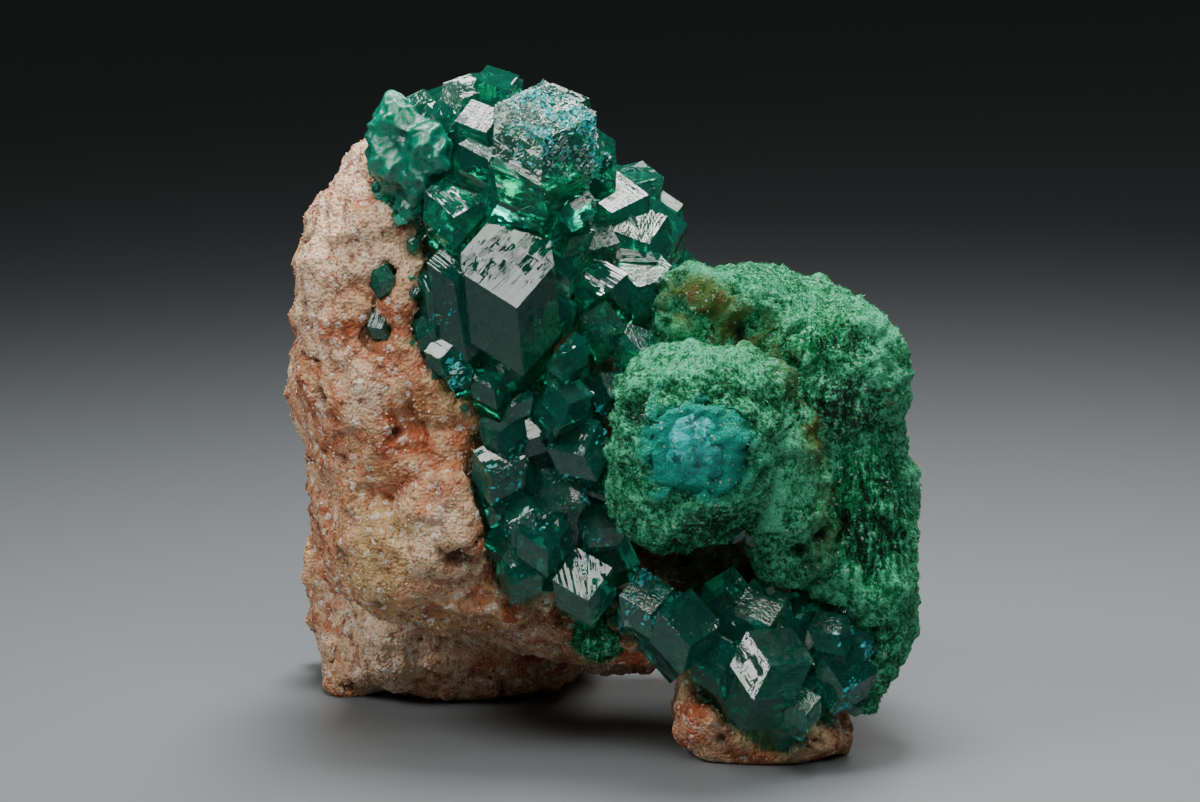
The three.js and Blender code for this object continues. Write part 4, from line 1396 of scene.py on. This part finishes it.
def facet_map(places: Array, faces: Array, normals: Array, labels: Array, inner: Array) -> Array:
    """Lays every flat face out on its own plane, so that a pattern can follow its edges.

    The first coordinate runs along the face's longest rim edge, the second across it in the
    plane, and the third is the face's number in centimetres, so no two faces look alike.

    Args:
        places: Corners, (n, 3).
        faces: Triangles, (m, 3).
        normals: Their normals, (m, 3).
        labels: The number of each triangle's flat face.
        inner: Whether each edge lies inside a flat face, (m, 3).

    Returns:
        A vector for each corner of each triangle, (m, 3, 3).
    """
    corners = places[faces]
    runs = (np.roll(corners, -1, 1) - corners).reshape(-1, 3)
    length = np.linalg.norm(runs, axis=1) * ~inner.reshape(-1)
    owner = np.repeat(labels, 3)
    order = np.lexsort((length, owner))
    longest = order[np.flatnonzero(np.diff(owner[order], append=-1))]
    along = np.zeros((len(faces), 3))
    along[owner[longest]] = runs[longest]
    along = unit(along[labels])
    across = np.cross(normals, along)
    number = np.broadcast_to(labels[:, None] * 10 * MM, corners.shape[:2])
    return np.stack([(corners * along[:, None]).sum(2), (corners * across[:, None]).sum(2), number], 2)


@dataclass
class CrystalCluster:
    """Crystals of one node, as a copy whose every flat face has its own frosting and tone."""

    node: str
    piece: str
    frosted: float
    seed: int
    scaly: tuple[tuple[float, float, float], float] | None = None

    def build(self, material: Material) -> Object:
        """Builds the copy in place of its node.

        Args:
            material: Its finish, which reads the attributes frost, tone and scaly.

        Returns:
            The finished piece.
        """
        places, faces = merged_mesh(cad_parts[self.node])
        obj = make_object(self.piece, places, faces, False)
        normals = face_normals(places[faces])
        labels, inner = flat_facets(faces, normals)
        set_vectors(obj, "facet", facet_map(places, faces, normals, labels, inner).reshape(-1, 3))
        rng = np.random.default_rng(self.seed)
        frost, tone = rng.uniform(0, 1, (2, len(faces)))
        # Frost falls on faces at random as real frosting, and more on faces that look up, as a painted sheen
        # from the overhead light.
        overhead_sheen = step_up(normals[:, 2], 0.1, 0.5)
        frost = step_up(frost[labels], 1 - 1.6 * self.frosted, 1) * (0.2 + 0.8 * overhead_sheen)
        set_values(obj, "frost", frost, "FACE")
        set_values(obj, "tone", tone[labels], "FACE")
        if self.scaly is not None:
            middle, reach = self.scaly
            close = near(places[faces].mean(1), middle, (reach,) * 3)
            set_values(obj, "scaly", close[labels], "FACE")
        obj.data.materials.append(material)
        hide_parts(self.node)
        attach(obj, BODY)
        LOG.info("%s: %d flat faces", self.piece, len(np.unique(labels)))
        return obj


@dataclass
class SurfaceFlakes:
    """Thin plates that lie scattered on a cluster, as scales and bits along its faces."""

    name: str
    spots: tuple
    count: int
    lean: float
    silver: float
    seed: int
    bare: float = 0.1
    size: float = 0.09 * MM
    thickness: tuple[float, float] = (0.01, 0.035)
    narrow: float = 0.62
    tries: int = 40

    def build(self, cluster: Object, material: Material) -> Object:
        """Scatters rhombic plates where the spots and a patchy noise allow.

        Args:
            cluster: The finished cluster.
            material: The plates' finish, which reads the attribute tone.

        Returns:
            The joined plates.
        """
        rng = np.random.default_rng(self.seed)
        places, _ = vertex_arrays(cluster)
        corners = places[object_triangles(cluster)]
        normals = face_normals(corners)
        single = np.arange(corners.size // 3).reshape(-1, 3)
        found, normals = surface_samples(corners.reshape(-1, 3), np.repeat(normals, 3, 0), single,
                                         self.count * self.tries, rng)
        patchy = layered_noise(found, 0.9 * MM, self.seed, 3)
        share = nearest(found, self.spots) * step_up(patchy, self.bare, self.bare + 0.5)
        chosen = np.flatnonzero(share > rng.uniform(0.05, 1.0, len(found)))[: self.count]
        found, normals = found[chosen], normals[chosen]
        total = len(chosen)
        rim = np.array([[1, 0], [0, self.narrow], [-1, 0], [0, -self.narrow]])
        plate = np.concatenate([np.c_[rim, np.full(4, -1.0)], np.c_[rim, np.full(4, 1.0)]])
        faces = np.array([[3, 2, 1, 0], [4, 5, 6, 7], [0, 1, 5, 4], [1, 2, 6, 5], [2, 3, 7, 6], [3, 0, 4, 7]])
        length = self.size * rng.lognormal(0, 0.4, total)
        across = length * rng.uniform(0.5, 1.1, total)
        sizes = np.stack([length, across, rng.uniform(*self.thickness, total) * MM], 1)
        axes = normals + self.lean * rng.normal(size=found.shape)
        turns = turned_axes(axes, 0.6 + 0.5 * rng.normal(size=total))
        joined, polygons = scattered(plate, faces, found, turns, sizes)
        obj = make_object(self.name, joined, polygons, False)
        drift = layered_noise(found, 1.2 * MM, self.seed + 9, 2)
        tone = np.clip(self.silver + 0.4 * drift + 0.1 * rng.normal(size=total), 0, 1)
        set_values(obj, "tone", np.repeat(tone, len(plate)))
        obj.data.materials.append(material)
        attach(obj, BODY)
        LOG.info("%s: %d plates", self.name, total)
        return obj


# Each light's name, height angle, angle to the right, distance, side and radiance.
LIGHTS = (
    ("key", 98, -4, 170 * MM, 78 * MM, 30.0),
    ("soft", 70, -4, 190 * MM, 84 * MM, 6.0),
    ("front", 46, 10, 200 * MM, 70 * MM, 9.0),
    ("left", 42, -58, 240 * MM, 90 * MM, 14.0),
    ("rear", 36, 160, 240 * MM, 110 * MM, 6.5),
)


@dataclass
class Studio:
    """A pale floor, soft lights and the camera."""

    floor_size: float = 900 * MM
    distance: float = 230 * MM
    elevation: float = math.radians(10)
    target: tuple[float, float, float] = (0.14 * MM, -9.1 * MM, 16.8 * MM)
    seen_width: float = 54 * MM
    half_spread: float = math.radians(36)
    sensor: float = 36.0
    warm: tuple = (1.0, 0.98, 0.95)
    sky: tuple = (0.86, 0.95, 0.92, 1)
    horizon: dict[str, float] = field(default_factory=lambda: {
        "From Min": -0.05, "From Max": 0.3, "To Min": 0.1, "To Max": 0.025})

    def build(self) -> None:
        """Makes the floor, world, lights and camera."""
        half = self.floor_size / 2
        corners = np.array([[-half, -half, 0], [half, -half, 0], [half, half, 0], [-half, half, 0]])
        floor = make_object("floor", corners, np.array([[0, 1, 2, 3]]), False)
        n = Nodes("pale_floor")
        n.surface(Base_Color=rgb(122, 128, 132), Roughness=0.5, IOR=1.45)
        floor.data.materials.append(n.material)
        for light in LIGHTS:
            self.light(*light)
        self.world()
        self.camera()

    def light(self, name: str, up: float, right: float, distance: float, size: float,
              radiance: float) -> None:
        """Adds a square soft light that faces the specimen.

        Args:
            name: Its name.
            up: Its height angle, in degrees, past 90 behind the specimen.
            right: How far it stands to the right of the front, in degrees.
            distance: How far away it stands.
            size: Its side.
            radiance: How bright its face is, seen straight on.
        """
        lamp = bpy.data.lights.new(name, "AREA")
        lamp.size = size
        lamp.spread = 2 * self.half_spread
        gathered = math.tan(self.half_spread) / (math.tan(self.half_spread) - self.half_spread)
        lamp.energy = radiance * math.pi * size * size / gathered
        lamp.color = self.warm
        obj = bpy.data.objects.new(name, lamp)
        a, b = math.radians(up), math.radians(right)
        away = Vector((math.sin(b) * math.cos(a), -math.cos(b) * math.cos(a), math.sin(a)))
        obj.location = Vector(self.target) + away * distance
        obj.rotation_euler = away.to_track_quat("Z", "Y").to_euler()
        bpy.context.scene.collection.objects.link(obj)

    def world(self) -> None:
        """A dim even surround, lighter near the horizon."""
        world = bpy.data.worlds.new("surround")
        world.use_nodes = True
        tree = Tree(world.node_tree)
        back = world.node_tree.nodes["Background"]
        split = tree.add("ShaderNodeSeparateXYZ")
        tree.link(tree.add("ShaderNodeTexCoord").outputs["Generated"], split.inputs["Vector"])
        glow = tree.add("ShaderNodeMapRange")
        for key, value in self.horizon.items():
            glow.inputs[key].default_value = value
        tree.link(split.outputs["Z"], glow.inputs["Value"])
        tree.link(glow.outputs["Result"], back.inputs["Strength"])
        back.inputs["Color"].default_value = self.sky
        bpy.context.scene.world = world

    def camera(self) -> None:
        """The camera, a little above the specimen's middle and far enough for a long lens."""
        data = bpy.data.cameras.new("camera")
        data.sensor_width = self.sensor
        data.lens = self.sensor * self.distance / self.seen_width
        data.clip_start = 10 * MM
        data.clip_end = 10
        camera = bpy.data.objects.new("camera", data)
        away = Vector((0, -math.cos(self.elevation), math.sin(self.elevation)))
        camera.location = Vector(self.target) + away * self.distance
        camera.rotation_euler = away.to_track_quat("Z", "Y").to_euler()
        bpy.context.scene.collection.objects.link(camera)
        bpy.context.scene.camera = camera


# Each cluster's node, piece, share of frosted faces, seed, and the scaly place where it has one.
CLUSTERS = (
    CrystalCluster("main_crystals", "large_crystals", 0.2, 40),
    CrystalCluster("vein_crystals", "band_crystals", 0.35, 41),
    CrystalCluster("lower_crystals", "foot_crystals", 0.35, 42),
    CrystalCluster("back_crystals", "rear_crystals", 0.35, 43),
    CrystalCluster("knob_crystals", "notch_crystals", 0.3, 44),
    CrystalCluster("lone_crystal_upper", "inset_crystal_upper", 0.2, 45),
    CrystalCluster("lone_crystal_lower", "inset_crystal_lower", 0.2, 46),
    CrystalCluster("lone_crystal_small", "inset_crystal_small", 0.2, 47),
    CrystalCluster("upper_crystals", "top_crystals", 0.3, 60, ((-1.6, -9.4, 29.0), 3.6)),
)
# The flakes by the node of the cluster that they lie on.
FLAKES = {
    "upper_crystals": SurfaceFlakes(
        "top_scales", (((-1.4, -9.6, 29.8), (3.9, 4.5, 3.0)), ((0.4, -9.0, 28.0), (1.4, 4.0, 3.0))),
        count=2000, lean=0.42, silver=0.5, seed=80, bare=-0.5),
    "vein_crystals": SurfaceFlakes(
        "band_flakes", (((-2.0, -9.0, 14.0), (5.0, 6.0, 8.0)),), count=500, lean=0.12, silver=0.3, seed=81),
    "lower_crystals": SurfaceFlakes(
        "foot_flakes", (((2.6, -9.0, 7.4), (2.2, 6.0, 2.6)), ((11.8, -9.0, 4.6), (2.0, 6.0, 2.8))),
        count=900, lean=0.12, silver=0.3, seed=82),
    "main_crystals": SurfaceFlakes(
        "large_flakes", (((-6.9, -9.0, 19.0), (1.5, 6.0, 3.2)),), count=260, lean=0.15, silver=0.32, seed=83),
}
BAND = ("upper_crystals", "main_crystals", "vein_crystals", "lower_crystals", "back_crystals")


def main() -> None:
    """Builds the studio, then the specimen from its stone to its smallest crystals."""
    logging.basicConfig(level=logging.INFO, format="%(name)s: %(message)s")
    Studio().build()
    grains = sparkle_group()
    mosaic = mosaic_group()
    clear = CrystalFinish().make(mosaic)
    crusted = CrustFinish().make(mosaic)
    flaky = FlakeFinish().make()
    malachite = MalachiteFinish().make(grains)
    needles = NeedleFinish().make()
    clusters = {cluster.node: cluster.build(clear) for cluster in CLUSTERS}
    for node, flakes in FLAKES.items():
        flakes.build(clusters[node], flaky)
    band = SeamField(BAND)
    stone = StoneMass(seam=band).build(StoneFinish().make(grains))
    mass = MalachiteMass().build(malachite)
    PatchMass().build(ChrysocollaFinish().make())
    crust = CrustMass().build(crusted)
    tuft = TuftMass().build(malachite)
    StoneGrains().build(stone, GrainFinish().make())
    MalachitePile().build(mass, MalachiteMass(), needles)
    MalachitePile(name="tuft_needles", count=900, length=0.35 * MM, seed=8).build(tuft, TuftMass(), needles)
    Druse("stone_druse", band, Slot.DIOPTASE, count=620).build(stone, clear)
    Druse("malachite_druse", band, Slot.DIOPTASE, count=160, seed=9).build(mass, clear)
    Druse("crust_druse", SeamField(("matrix_stone",)), Slot.CRUST, count=560, smallest=0.08 * MM,
          largest=0.3 * MM, seed=10).build(crust, crusted)


if __name__ == "__main__":
    main()
